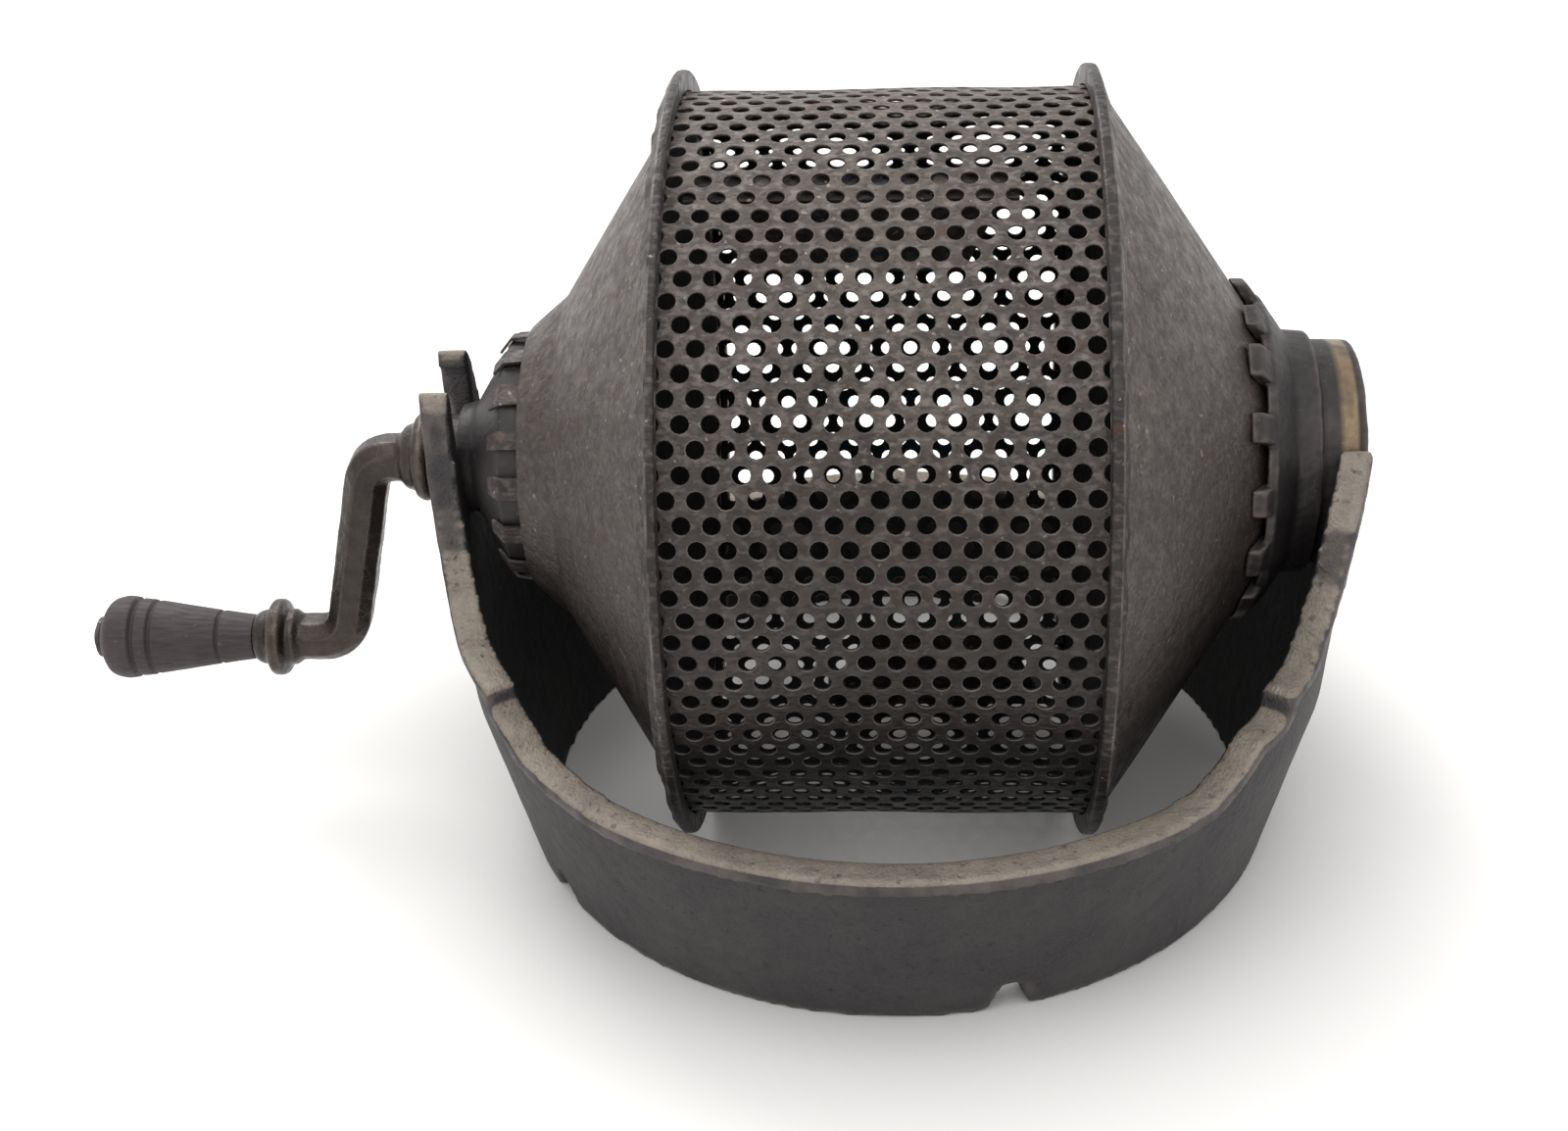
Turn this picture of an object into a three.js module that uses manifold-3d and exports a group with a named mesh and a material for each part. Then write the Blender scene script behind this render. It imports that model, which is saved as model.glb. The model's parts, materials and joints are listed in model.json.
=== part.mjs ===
// Stove-top coffee roaster: a perforated sheet-iron drum with coned ends, turned by a crank
// in a cast-iron ring stand that sits round a burner.
// Millimetres, +Z up. X runs along the drum's axis, from the crank to the open mouth.
import * as THREE from "three";
import { mergeVertices } from "three/addons/utils/BufferGeometryUtils.js";
import Module from "manifold-3d";

const wasm = await Module();
wasm.setup();

// Fits
const seatGap = 0.3; // between two pieces that bear on each other
const runningGap = 0.3; // all round a journal in its bearing

// Seam rings that close the shell over the cones: the widest part of the drum, which the rest follows
const seamRadius = 115.9;
const seamWidth = 4.4;
const seamSheet = 0.9;
const seamChamfer = 0.8;
const seamRise = 6.4; // from the shell out to the ring's crest
const seamLip = 1.8; // from the shell to the lip of the ring's outer wall

// Drum shell and its perforations
const drumRadius = seamRadius - seamRise;
const drumLength = 116; // between the two seam rings
const drumOffset = -1.8; // the drum's middle, measured from the stand's centre
const underDrum = 3.1; // from the stove to the seam rings
const axisHeight = seamRadius + underDrum;
const shellSheet = 0.9;
const holeDiameter = 5;
const holePitch = 7.94; // 5/16 inch, centre to centre along a row
const holeShift = -0.5; // the pattern's middle, measured from the drum's middle
const patternRows = 104; // rows round the real drum
const patternAngle = 41.8; // degrees up from the front to the row that the others are counted from
const openRows = 28; // the solid has a coarser pattern, as open as the real one: fewer and larger holes
const openHoles = 5; // holes in every other row, and one fewer in the rows between
const openPitch = 3 * holePitch;

// Coned ends
const coneSheet = 0.9;
const coneNeckRadius = 50;
// A cone's outside line: its radius in the plane of the drum's edge, and how fast it narrows
const coneOf = (edgeRadius, slope) => ({ slope, reach: (edgeRadius - coneNeckRadius) / slope });
const mouthConeRise = 6.24; // the mouth end's line meets the edge's plane this far out from the shell
const crankCone = coneOf(drumRadius + 0.16, 1.57);
const mouthCone = coneOf(drumRadius + mouthConeRise, 1.448);
const crankNeckRadius = 45.5; // from here the crank end's cone turns steeper, up to the hub
const crankNeckHeight = 11.6; // of the steeper part, along X
const crankNeckTop = [crankCone.reach + crankNeckHeight, 40.4]; // distance from the drum's edge, and radius
const crankConeHole = 17;
const mouthConeHole = 33;
const tongueCount = 16; // sheet tongues folded over the hub's rim
const tongueWidth = 6;
const tongueReach = 3.6; // from the rim inward over the hub

// Castings on the cones' small ends
const lugCount = 16;
const lugWidth = 9;
const lugHeight = 4.8; // heights over the cone, measured along X
const neckCrownRadius = 47.4;
const lugRadius = neckCrownRadius + 4.9;
const neckCrownUnder = 2.4;
const neckCrownTop = 5.7;
const hubRimRadius = 36.4;
const hubTop = 9.6;
const journalRadius = 13.3;
const noseShoulder = 3; // the hub's face by the fork is this much wider than the journal
const noseGap = 3.4; // from that face to the fork's inner face
const shankRadius = 5.5;
const neckBoreRadius = 29;
const neckLipWidth = 3.2;
const neckCollarRadius = 36.7;
const neckCollarLength = 8.2;
const neckJournalRadius = 33.5;
const mouthOverhang = 5.2; // the neck's reach past the cradle's inner face

// Ring stand, wide enough for the drum's length from edge to neck
const neckRoom = 17.8; // from the cone's small end out to the foot
const footRadius = drumLength / 2 + mouthCone.reach + neckRoom;
const lipDrop = 57; // from the drum's axis down to the lip
const lipHeight = axisHeight - lipDrop;
const backLipDrop = 19; // the lip at the back lies this much lower than the front's
const lipThickness = 5.5;
const lipProud = 3; // the thick edge stands out this far from the wall
const skirtTopRadius = footRadius + 13.3;
const uprightRadius = footRadius + 17.6; // wall's outside at the height of the drum's axis
const footWall = 10;
const skirtWall = 7.2;
const uprightWall = 6.4;
const forkHeight = axisHeight + 29;
const cradleHeight = axisHeight + 18;
const stepHeight = 6.5; // little ledge in the edge below each upright
const notchCount = 5;
const notchAngle = 15.9; // degrees from the front towards the mouth
const notchWidth = 12.4;
const notchTopWidth = 5.5;
const notchDepth = 10.5;

// Stirring vanes inside the drum
const vanes = [
  { row: 8, hole: -1, length: 90 }, // row and hole of the pattern that the vane is centred on
  { row: 62, hole: 2, length: 73 },
];
const vaneSheet = 1.2;
const vaneDepth = 36;
const vaneTaper = 14; // each end slants in this much by the free edge
const vaneFoot = 12;
const rivetHoles = 3; // from the vane's middle to each of its two rivets
const rivetRadius = 2.2;
const rivetFaceRadius = 2.9; // countersunk, flush with the outside of the drum
const rivetHeadRadius = 3.8;
const rivetHeadHeight = 1.2;

// Crank and grip
const crankThrow = 66;
const crankFlareRadius = 14;
const crankCollarRadius = 10.4;
const armWidth = 14.6;
const armDepth = 13.6;
const armChamfer = 3.6;
const armStandoff = 23.7; // from the upright to the arm's centre line
const armLean = 15.9; // the arm's foot is this much further out than its top
const beadReach = 38.3; // from the arm's top out to the bead
const armTopX = -uprightRadius - armStandoff; // from the stand's centre
const armFootX = armTopX - armLean;
const armBend = 11;
const beadX = armTopX - beadReach;
const beadRadius = 12.6;
const gripLength = 50.5;
const gripRadius = 13.7;
const gripNeckRadius = 7.5;
const gripBoreRadius = 3.4;
const spindleRadius = 3.1;
const gripEndPlay = 0.4;
const washerRadius = 6.6;
const washerThickness = 1.2;

// Nut and washer that hold the crank's shank inside the hub
const shankWasherRadius = 24;
const shankWasherThickness = 2.5;
const nutAcrossFlats = 15;
const nutThickness = 8;
const shankEnd = 2; // length past the nut

const drumEdge = drumLength / 2;
const segments = 2 * openRows; // sides of the large round pieces
const castingSides = 36;
const roundSides = 28; // of the crank's and grip's round parts
const DEG = Math.PI / 180;

// Finishes
const finish = (color, roughness, metalness) => new THREE.MeshStandardMaterial({ color, roughness, metalness });
const standIron = finish(0x4b484b, 0.62, 0.6);
const drumIron = finish(0x5a524e, 0.55, 0.7);
const castIron = finish(0x464446, 0.45, 0.7);
const crankIron = finish(0x4a4340, 0.38, 0.7);
const darkSteel = finish(0x3f3b39, 0.4, 0.8);
const turnedWood = finish(0x564a4b, 0.7, 0);

// Closed mesh to solid, and back
function toSolid(geometry) {
  const bare = geometry.clone();
  bare.deleteAttribute("normal");
  bare.deleteAttribute("uv");
  const merged = mergeVertices(bare, 1e-4);
  return new wasm.Manifold(
    new wasm.Mesh({
      numProp: 3,
      vertProperties: merged.getAttribute("position").array,
      triVerts: new Uint32Array(merged.index.array),
    }),
  );
}

function toGeometry(solid) {
  const mesh = solid.getMesh();
  const geometry = new THREE.BufferGeometry();
  geometry.setAttribute("position", new THREE.BufferAttribute(new Float32Array(mesh.vertProperties), 3));
  geometry.setIndex(new THREE.BufferAttribute(new Uint32Array(mesh.triVerts), 1));
  geometry.computeVertexNormals();
  return geometry;
}

const joined = (geometries) =>
  toGeometry(geometries.map(toSolid).reduce((whole, piece) => whole.add(piece)));

const cutBy = (geometry, cutters) =>
  toGeometry(cutters.map(toSolid).reduce((whole, cutter) => whole.subtract(cutter), toSolid(geometry)));

// Profile of [x, radius] points turned round the X axis; a profile off the axis closes on itself
function turned(profile, sides = segments) {
  let points = profile.map(([x, radius]) => new THREE.Vector2(radius, x));
  const closed = points.some((point) => point.x > 0) && points[0].x > 0;
  if (THREE.ShapeUtils.area(points) < 0) points.reverse();
  if (closed) points = [...points, points[0]];
  return new THREE.LatheGeometry(points, sides).rotateZ(-90 * DEG);
}

// Moves a piece that is drawn outward from one end of the drum on to that end
const atMouthEnd = (geometry) => geometry.translate(drumOffset + drumEdge, 0, axisHeight);
const atCrankEnd = (geometry) => geometry.rotateZ(Math.PI).translate(drumOffset - drumEdge, 0, axisHeight);

// Place of a hole of the real pattern: degrees up from the front, and distance from the drum's middle
const rowAngle = (row) => patternAngle + (row * 360) / patternRows;
const holePlace = (hole) => holeShift + hole * holePitch;

// Point on a cylinder round the drum's axis
function drumPoint(x, radius, degrees) {
  const angle = degrees * DEG;
  return [drumOffset + x, -radius * Math.cos(angle), axisHeight + radius * Math.sin(angle)];
}

// The folded seam, from its inner face outward: ring wall, shell's flange, cone's flange, ring wall
const flangeNear = seamSheet + seatGap;
const flangeFar = flangeNear + shellSheet;
const coneFlange = flangeFar + seatGap;
const coneFlangeFar = coneFlange + coneSheet;
const flangeRadius = seamRadius - seamSheet - seatGap;

// A six-sided hole's corners lie at the radius that opens the same share of the sheet as the real holes
const openShare = (Math.PI * (holeDiameter / 2) ** 2) / (holePitch * ((2 * Math.PI * drumRadius) / patternRows));
const openCell = openPitch * ((2 * Math.PI * drumRadius) / openRows);
const openRadius = Math.sqrt((openShare * openCell) / (1.5 * Math.sqrt(3)));

// A hole is left out where a vane's rivet goes through the sheet
function meetsRivet(x, degrees) {
  return vanes.flatMap(rivetPlaces).some((place) => {
    const away = THREE.MathUtils.euclideanModulo(rowAngle(place.row) - degrees + 180, 360) - 180;
    return Math.hypot(place.x - x, away * DEG * drumRadius) < openRadius + rivetFaceRadius + 1;
  });
}

// One row of the shell: cells with a six-sided hole each. A row's edges have a point at every half
// cell, so that staggered rows meet point to point.
function shellRow(triangles, row) {
  const step = 360 / openRows;
  const angle = rowAngle(vanes[0].row) + (row + 0.5) * step;
  const staggered = row % 2 === 1;
  const cells = staggered ? openHoles - 1 : openHoles;
  const outer = drumRadius;
  const inner = drumRadius - shellSheet;
  const face = (points, facesOut) => {
    for (let i = 1; i < points.length - 1; i++) {
      const fan = [points[0], points[i], points[i + 1]];
      triangles.push(...(facesOut ? fan : fan.reverse()));
    }
  };
  const border = (x) => THREE.MathUtils.clamp(x, -drumEdge, drumEdge);
  const corner = (x, side, radius) => drumPoint(x, radius, angle + (side * step) / 2);
  const rim = (x, k, radius) => {
    const [along, round] = [Math.cos(k * 60 * DEG), Math.sin(k * 60 * DEG)];
    return drumPoint(x + openRadius * along, radius, angle + (openRadius / drumRadius / DEG) * round);
  };
  for (let cell = 0; cell < cells; cell++) {
    const middle = (cell - (cells - 1) / 2) * openPitch;
    const ends = [border(middle + openPitch / 2), middle, border(middle - openPitch / 2)];
    const plain = meetsRivet(middle, angle);
    for (const radius of [outer, inner]) {
      const around = [
        corner(ends[0], -1, radius),
        corner(ends[0], 1, radius),
        corner(ends[1], 1, radius),
        corner(ends[2], 1, radius),
        corner(ends[2], -1, radius),
        corner(ends[1], -1, radius),
      ];
      if (plain) face(around, radius === outer);
      for (let k = 0; k < 6 && !plain; k++) {
        const [here, next] = [rim(middle, k, radius), rim(middle, k + 1, radius)];
        face([here, around[k], around[(k + 1) % 6], next], radius === outer);
      }
    }
    for (let k = 0; k < 6 && !plain; k++) {
      face([rim(middle, k, outer), rim(middle, k + 1, outer), rim(middle, k + 1, inner), rim(middle, k, inner)], true);
    }
  }
  // plain margins, wider on a staggered row, which has one hole fewer, then the turned-out flange
  for (const end of [-1, 1]) {
    const from = (end * cells * openPitch) / 2;
    const stops = staggered ? [border(from), border(from + (end * openPitch) / 2)] : [border(from)];
    const near = end * (drumEdge + flangeNear);
    const far = end * (drumEdge + flangeFar);
    const path = [
      ...stops.map((x) => [x, outer]),
      [near, outer],
      [near, flangeRadius],
      [far, flangeRadius],
      [far, inner],
      ...stops.toReversed().map((x) => [x, inner]),
    ];
    for (let i = 1; i < path.length; i++) {
      const [[x0, r0], [x1, r1]] = [path[i - 1], path[i]];
      face([corner(x0, -1, r0), corner(x1, -1, r1), corner(x1, 1, r1), corner(x0, 1, r0)], end > 0);
    }
  }
}

function drumShell() {
  const triangles = [];
  for (let row = 0; row < openRows; row++) shellRow(triangles, row);
  const geometry = new THREE.BufferGeometry();
  geometry.setAttribute("position", new THREE.Float32BufferAttribute(triangles.flat(), 3));
  return cutBy(mergeVertices(geometry, 1e-3), vanes.flatMap(rivetPlaces).map(rivetHole));
}

// Distance of a cone's outside from the drum's edge, at a radius
const coneOutside = (cone, radius) => cone.reach - (radius - coneNeckRadius) / cone.slope;
const coneRadiusAt = (cone, reach) => coneNeckRadius + (cone.reach - reach) * cone.slope;
const coneThickness = (cone) => coneSheet / Math.sin(Math.atan(cone.slope)); // along X

const coneFlangeProfile = (cone) => [
  [coneFlange, coneRadiusAt(cone, coneFlange + coneThickness(cone))],
  [coneFlange, flangeRadius],
  [coneFlangeFar, flangeRadius],
  [coneFlangeFar, coneRadiusAt(cone, coneFlangeFar)],
];

// A strip of sheet along a path of [x, radius] points, thickened towards the axis
function strip(path, thickness) {
  const points = path.map(([x, y]) => new THREE.Vector2(x, y));
  const normals = points.slice(1).map((point, i) => {
    const along = point.clone().sub(points[i]).normalize();
    return new THREE.Vector2(along.y, -along.x);
  });
  const inner = points.map((point, i) => {
    const [before, after] = [normals[Math.max(i - 1, 0)], normals[Math.min(i, normals.length - 1)]];
    const mitre = before.clone().add(after).normalize();
    return point.clone().addScaledVector(mitre, thickness / mitre.dot(before));
  });
  return new THREE.Shape([...points, ...inner.reverse()]);
}

// Copies of a flat shape in the x-radius plane, each as wide as given, set round the axis
function fanned(shape, width, count) {
  return Array.from({ length: count }, (_, i) => {
    const piece = new THREE.ExtrudeGeometry(shape, { depth: width, bevelEnabled: false });
    return piece.translate(0, 0, -width / 2).rotateX(((i + 0.5) * 360 * DEG) / count);
  });
}

function mouthEndCone() {
  const tip = coneOutside(mouthCone, mouthConeHole);
  return turned([
    ...coneFlangeProfile(mouthCone),
    [tip, mouthConeHole],
    [tip - coneThickness(mouthCone), mouthConeHole],
  ]);
}

// At its small end the crank end's cone turns steeper, then in under the hub, and its tongues fold over
function crankEndCone() {
  const kink = coneOutside(crankCone, crankNeckRadius);
  const [topX, topRadius] = crankNeckTop;
  const wall = turned([
    ...coneFlangeProfile(crankCone),
    [kink, crankNeckRadius],
    [topX, topRadius],
    [topX, crankConeHole],
    [topX - coneSheet, crankConeHole],
    [topX - coneSheet, topRadius - coneSheet],
    [kink - coneThickness(crankCone), crankNeckRadius - coneSheet * 0.4],
  ]);
  const rimTop = coneOutside(crankCone, hubRimRadius) + hubTop - 1;
  const rimOutside = hubRimRadius + seatGap + coneSheet;
  const tongue = strip([
    [topX - 0.6, topRadius - 0.1],
    [topX + 1.2, rimOutside],
    [rimTop, rimOutside],
    [rimTop + 2.2, rimOutside - 1.2],
    [rimTop + 2.2 + (tongueReach - 1.2) / crankCone.slope, rimOutside - tongueReach],
  ], coneSheet);
  return joined([wall, ...fanned(tongue, tongueWidth, tongueCount)]);
}

// The ring is a channel, open towards the axis, pinched over both flanges
function seamRing() {
  const lip = drumRadius + seamLip;
  return turned([
    [0, drumRadius + seatGap * 2],
    [0, seamRadius - seamChamfer],
    [seamChamfer, seamRadius],
    [seamWidth - seamChamfer, seamRadius],
    [seamWidth, seamRadius - seamChamfer],
    [seamWidth, lip],
    [seamWidth - seamSheet, lip],
    [seamWidth - seamSheet, seamRadius - seamSheet],
    [seamSheet, seamRadius - seamSheet],
    [seamSheet, drumRadius + seatGap * 2],
  ]);
}

// Cast hub: a cone seated on the sheet, journal in the fork, bore for the crank's shank
const crankEndX = drumOffset - drumEdge;
const mouthEndX = drumOffset + drumEdge;
const noseEnd = innerRadius(axisHeight) - noseGap + crankEndX;
const journalEnd = edgeRadius(axisHeight) + 2 * seatGap + crankEndX;
const hubSpigotEnd = crankNeckTop[0] - coneSheet - seatGap;

function crankEndHub() {
  const seat = crankNeckTop[0] + seatGap;
  const top = (radius) => coneOutside(crankCone, radius) + hubTop;
  const bore = shankRadius + seatGap;
  const spigot = crankConeHole - seatGap;
  const nose = journalRadius + noseShoulder;
  return turned([
    [hubSpigotEnd, bore],
    [hubSpigotEnd, spigot],
    [seat, spigot],
    [seat, hubRimRadius],
    [top(hubRimRadius) - 1.4, hubRimRadius],
    [top(hubRimRadius - 1), hubRimRadius - 1],
    [Math.min(top(nose), noseEnd - 0.5), nose],
    [noseEnd, nose - 0.6],
    [noseEnd, journalRadius],
    [journalEnd, journalRadius],
    [journalEnd, bore],
  ], castingSides);
}

// Cast neck: crown, collar, open mouth that runs in the cradle, and a lip turned over inside the cone
const neckMouth = innerRadius(axisHeight) + mouthOverhang - mouthEndX;

function neckCasting() {
  const over = (radius, height) => [coneOutside(mouthCone, radius) + height, radius];
  const spigot = mouthConeHole - seatGap;
  const lip = mouthConeHole + neckLipWidth;
  const lipFace = (radius) => coneOutside(mouthCone, radius) - coneThickness(mouthCone) - seatGap;
  const collarFoot = over(neckCollarRadius + 1.3, neckCrownTop);
  const collarEnd = collarFoot[0] + neckCollarLength;
  const body = turned([
    [lipFace(lip) - 1.6, neckBoreRadius],
    [lipFace(lip) - 1.2, lip],
    [lipFace(lip), lip],
    [lipFace(spigot), spigot],
    over(spigot, neckCrownUnder),
    over(neckCrownRadius, neckCrownUnder),
    over(neckCrownRadius, neckCrownTop),
    collarFoot,
    [collarFoot[0] + 0.7, neckCollarRadius],
    [collarEnd - 0.9, neckCollarRadius - 0.2],
    [collarEnd, neckCollarRadius - 1.4],
    [collarEnd + 0.6, neckJournalRadius + 0.3],
    [neckMouth - 2, neckJournalRadius],
    [neckMouth - 0.5, neckJournalRadius - 0.9],
    [neckMouth, neckJournalRadius - 2.4],
    [neckMouth, neckBoreRadius],
  ], castingSides);
  const root = neckCrownRadius - 4;
  const lug = new THREE.Shape(
    [
      over(lugRadius, seatGap),
      over(lugRadius, lugHeight),
      over(neckCrownRadius + 1.4, lugHeight),
      over(root, neckCrownTop - 1),
      over(root, seatGap),
    ].map(([x, y]) => new THREE.Vector2(x, y)),
  );
  return joined([body, ...fanned(lug, lugWidth, lugCount)]);
}

// Radius of the stand's wall and thick edge at a height
function along(stops, at) {
  const next = stops.findIndex(([place]) => place >= at);
  if (next < 0) return stops[stops.length - 1][1];
  if (next === 0) return stops[0][1];
  const [from, low] = stops[next - 1];
  const [to, high] = stops[next];
  return THREE.MathUtils.lerp(low, high, (at - from) / (to - from));
}

function wallRadius(height) {
  const knee = lipHeight - lipThickness;
  return along([[0, footRadius], [knee, skirtTopRadius], [axisHeight, uprightRadius]], height);
}

function wallThickness(height) {
  return along([[0, footWall], [lipHeight, skirtWall], [axisHeight, uprightWall]], height);
}

function edgeRadius(height) {
  return wallRadius(height) + lipProud;
}

function innerRadius(height) {
  return wallRadius(height) - wallThickness(height);
}

// Height of the stand's edge against the angle from an upright's middle
const ledge = lipHeight + 13;
const forkEdge = [
  [0, forkHeight],
  [7, forkHeight],
  [8.4, forkHeight - 5],
  [9.4, axisHeight + 7],
  [9.9, axisHeight - 3],
  [12.4, axisHeight - 18],
  [15.5, axisHeight - 29],
  [21, ledge + stepHeight],
  [32, ledge + stepHeight - 1],
  [32.6, ledge - 1],
  [36, lipHeight + 9],
  [39, lipHeight + 4.5],
  [45, lipHeight + 2.4],
  [52, lipHeight],
  [90, lipHeight],
];
const cradleEdge = [
  [0, cradleHeight],
  [16.6, cradleHeight],
  [18.4, cradleHeight - 4],
  [23.3, axisHeight + 4],
  [26, axisHeight - 12],
  [28.4, axisHeight - 21.4],
  [31.3, ledge + stepHeight + 5],
  [36.4, ledge + stepHeight + 3],
  [37, ledge + 2],
  [42, ledge + 0.5],
  [45, lipHeight + 7],
  [49, lipHeight + 1.5],
  [54, lipHeight],
  [90, lipHeight],
];

// Behind the drum the edge comes no higher than this, against the angle from the back
const backLip = lipHeight - backLipDrop;
const backEdge = [
  [0, backLip],
  [29, backLip],
  [33, backLip + 5],
  [38, lipHeight - 5],
  [44, lipHeight + 2],
  [45, forkHeight],
];

function edgeHeight(degrees) {
  const angle = THREE.MathUtils.euclideanModulo(degrees, 360);
  const fromCradle = Math.abs(angle - 90);
  const fromFork = Math.abs(angle - 270);
  const height = fromCradle <= 90 ? along(cradleEdge, fromCradle) : along(forkEdge, fromFork);
  return Math.min(height, along(backEdge, Math.abs(angle - 180)));
}

// Columns of the stand: every few degrees, and where the edge bends
function standColumns() {
  const angles = new Set();
  for (let angle = 0; angle < 360; angle += 9) angles.add(angle);
  for (const [middle, stops] of [[90, cradleEdge], [180, backEdge], [270, forkEdge]]) {
    for (const [away] of stops) {
      angles.add(THREE.MathUtils.euclideanModulo(middle - away, 360));
      angles.add(THREE.MathUtils.euclideanModulo(middle + away, 360));
    }
  }
  const sorted = [...angles].sort((a, b) => a - b);
  return sorted.filter((angle, i) => i === 0 || angle - sorted[i - 1] > 0.4);
}

// One section of the stand at an angle: up the outside, over the thick edge, down the inside
function standSection(degrees) {
  const top = edgeHeight(degrees);
  const run = 2 * DEG * uprightRadius;
  const slope = (edgeHeight(degrees + 1) - edgeHeight(degrees - 1)) / run;
  const drop = Math.min(lipThickness * Math.hypot(1, slope), 16);
  const under = top - drop;
  const levels = [0, 0.4, 0.75, 1];
  const chamfer = 1;
  const section = [
    ...levels.map((level) => [wallRadius(level * under), level * under]),
    [edgeRadius(under + 1), under + 1],
    [edgeRadius(top), top - chamfer],
    [edgeRadius(top) - chamfer, top],
    [innerRadius(top) + chamfer, top],
    ...levels.toReversed().map((level) => [innerRadius(level * (top - chamfer)), level * (top - chamfer)]),
  ];
  const angle = degrees * DEG;
  return section.map(([radius, height]) => [radius * Math.sin(angle), -radius * Math.cos(angle), height]);
}

// A slot with a half-round bottom, open at the top, that runs along X
function bearingSlot(radius, from, to) {
  const shape = new THREE.Shape();
  const top = forkHeight + 20 - axisHeight;
  shape.moveTo(radius, top);
  shape.lineTo(-radius, top);
  shape.absarc(0, 0, radius, Math.PI, 2 * Math.PI, false);
  shape.closePath();
  const slot = new THREE.ExtrudeGeometry(shape, { depth: to - from, bevelEnabled: false, curveSegments: 20 });
  return slot.rotateX(90 * DEG).rotateZ(90 * DEG).translate(from, 0, axisHeight);
}

function footNotch(degrees) {
  const shape = new THREE.Shape([
    new THREE.Vector2(-notchWidth / 2, -1),
    new THREE.Vector2(notchWidth / 2, -1),
    new THREE.Vector2(notchTopWidth / 2, notchDepth),
    new THREE.Vector2(-notchTopWidth / 2, notchDepth),
  ]);
  const reach = footWall * 4;
  const notch = new THREE.ExtrudeGeometry(shape, { depth: reach, bevelEnabled: false });
  return notch.rotateX(90 * DEG).translate(0, -footRadius + reach / 2, 0).rotateZ(degrees * DEG);
}

function stand() {
  const sections = standColumns().map(standSection);
  const count = sections[0].length;
  const index = [];
  for (let i = 0; i < sections.length; i++) {
    for (let k = 0; k < count; k++) {
      const a = i * count + k;
      const b = i * count + ((k + 1) % count);
      const c = ((i + 1) % sections.length) * count + k;
      const d = ((i + 1) % sections.length) * count + ((k + 1) % count);
      index.push(a, c, b, b, c, d);
    }
  }
  const ring = new THREE.BufferGeometry();
  ring.setAttribute("position", new THREE.Float32BufferAttribute(sections.flat(2), 3));
  ring.setIndex(index);
  const reach = edgeRadius(axisHeight) + footWall;
  const slotLength = 4 * footWall;
  const cutters = [
    bearingSlot(journalRadius + runningGap, -reach, slotLength - reach),
    bearingSlot(neckJournalRadius + runningGap, reach - slotLength, reach),
  ];
  for (let i = 0; i < notchCount; i++) cutters.push(footNotch(notchAngle + (i * 360) / notchCount));
  return cutBy(ring, cutters);
}

// Places of a vane's two rivets along the drum
const rivetPlaces = ({ row, hole }) => [-1, 1].map((side) => ({ row, x: holePlace(hole + side * rivetHoles) }));

// Turns a piece drawn at the front of the drum, with +X along the axis, to a row's angle
const atRow = (geometry, row) => geometry.rotateX(-rowAngle(row) * DEG).translate(drumOffset, 0, axisHeight);

// The countersunk hole is the rivet's own shape with a gap all round
function rivetHole({ row, x }) {
  const sink = turned([
    [-drumRadius - 1, 0],
    [-drumRadius - 1, rivetFaceRadius + seatGap],
    [-drumRadius, rivetFaceRadius + seatGap],
    [shellSheet - drumRadius, rivetRadius + seatGap],
    [shellSheet - drumRadius + 1, rivetRadius + seatGap],
    [shellSheet - drumRadius + 1, 0],
  ], 12);
  return atRow(sink.rotateZ(90 * DEG).translate(x, 0, 0), row);
}

// A vane is a plate with slanted ends on a flat foot, riveted to the inside of the shell
const insideFlat = (drumRadius - shellSheet) * Math.cos((180 * DEG) / openRows);
const footFace = insideFlat - 2 * seatGap;

function vane({ row, hole, length }) {
  const middle = holePlace(hole);
  const plan = (points) => new THREE.Shape(points.map(([x, y]) => new THREE.Vector2(middle + x, y)));
  const half = length / 2;
  const foot = plan([[-half, -vaneFoot / 2], [half, -vaneFoot / 2], [half, vaneFoot / 2], [-half, vaneFoot / 2]]);
  for (const { x } of rivetPlaces({ row, hole })) {
    const drilled = new THREE.Path();
    drilled.absarc(x, 0, rivetRadius + seatGap, 0, 2 * Math.PI, true);
    foot.holes.push(drilled);
  }
  const blade = plan([[-half, 0], [half, 0], [half - vaneTaper, vaneDepth], [vaneTaper - half, vaneDepth]]);
  const options = { depth: vaneSheet, bevelEnabled: false, curveSegments: 6 };
  const footPlate = new THREE.ExtrudeGeometry(foot, options).rotateX(90 * DEG);
  footPlate.translate(0, -footFace + vaneSheet, 0);
  const bladePlate = new THREE.ExtrudeGeometry(blade, options);
  bladePlate.translate(0, -footFace, vaneFoot / 2 - vaneSheet);
  return atRow(joined([footPlate, bladePlate]), row);
}

function rivet({ row, x }) {
  const inside = vaneSheet + seatGap - footFace;
  const body = turned([
    [-drumRadius, 0],
    [-drumRadius, rivetFaceRadius],
    [shellSheet - drumRadius, rivetRadius],
    [inside, rivetRadius],
    [inside, rivetHeadRadius],
    [inside + rivetHeadHeight, rivetHeadRadius * 0.6],
    [inside + rivetHeadHeight, 0],
  ], 12);
  return atRow(body.rotateZ(90 * DEG).translate(x, 0, 0), row);
}

// Crank: shank, flared collar against the fork, chamfered arm, and a bead where the grip begins
const crankFace = -(edgeRadius(axisHeight) + 0.6 + seatGap);
const gripHeight = axisHeight - crankThrow;
const beadLength = 8; // from its crown to the grip
const gripStart = beadX - beadLength;
const spindleSeat = beadX - beadLength / 4; // bottom of the spindle's hole in the bead
const nutFace = crankEndX - hubSpigotEnd + shankWasherThickness + 2 * seatGap;
const shankTip = nutFace + nutThickness + shankEnd;

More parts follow.
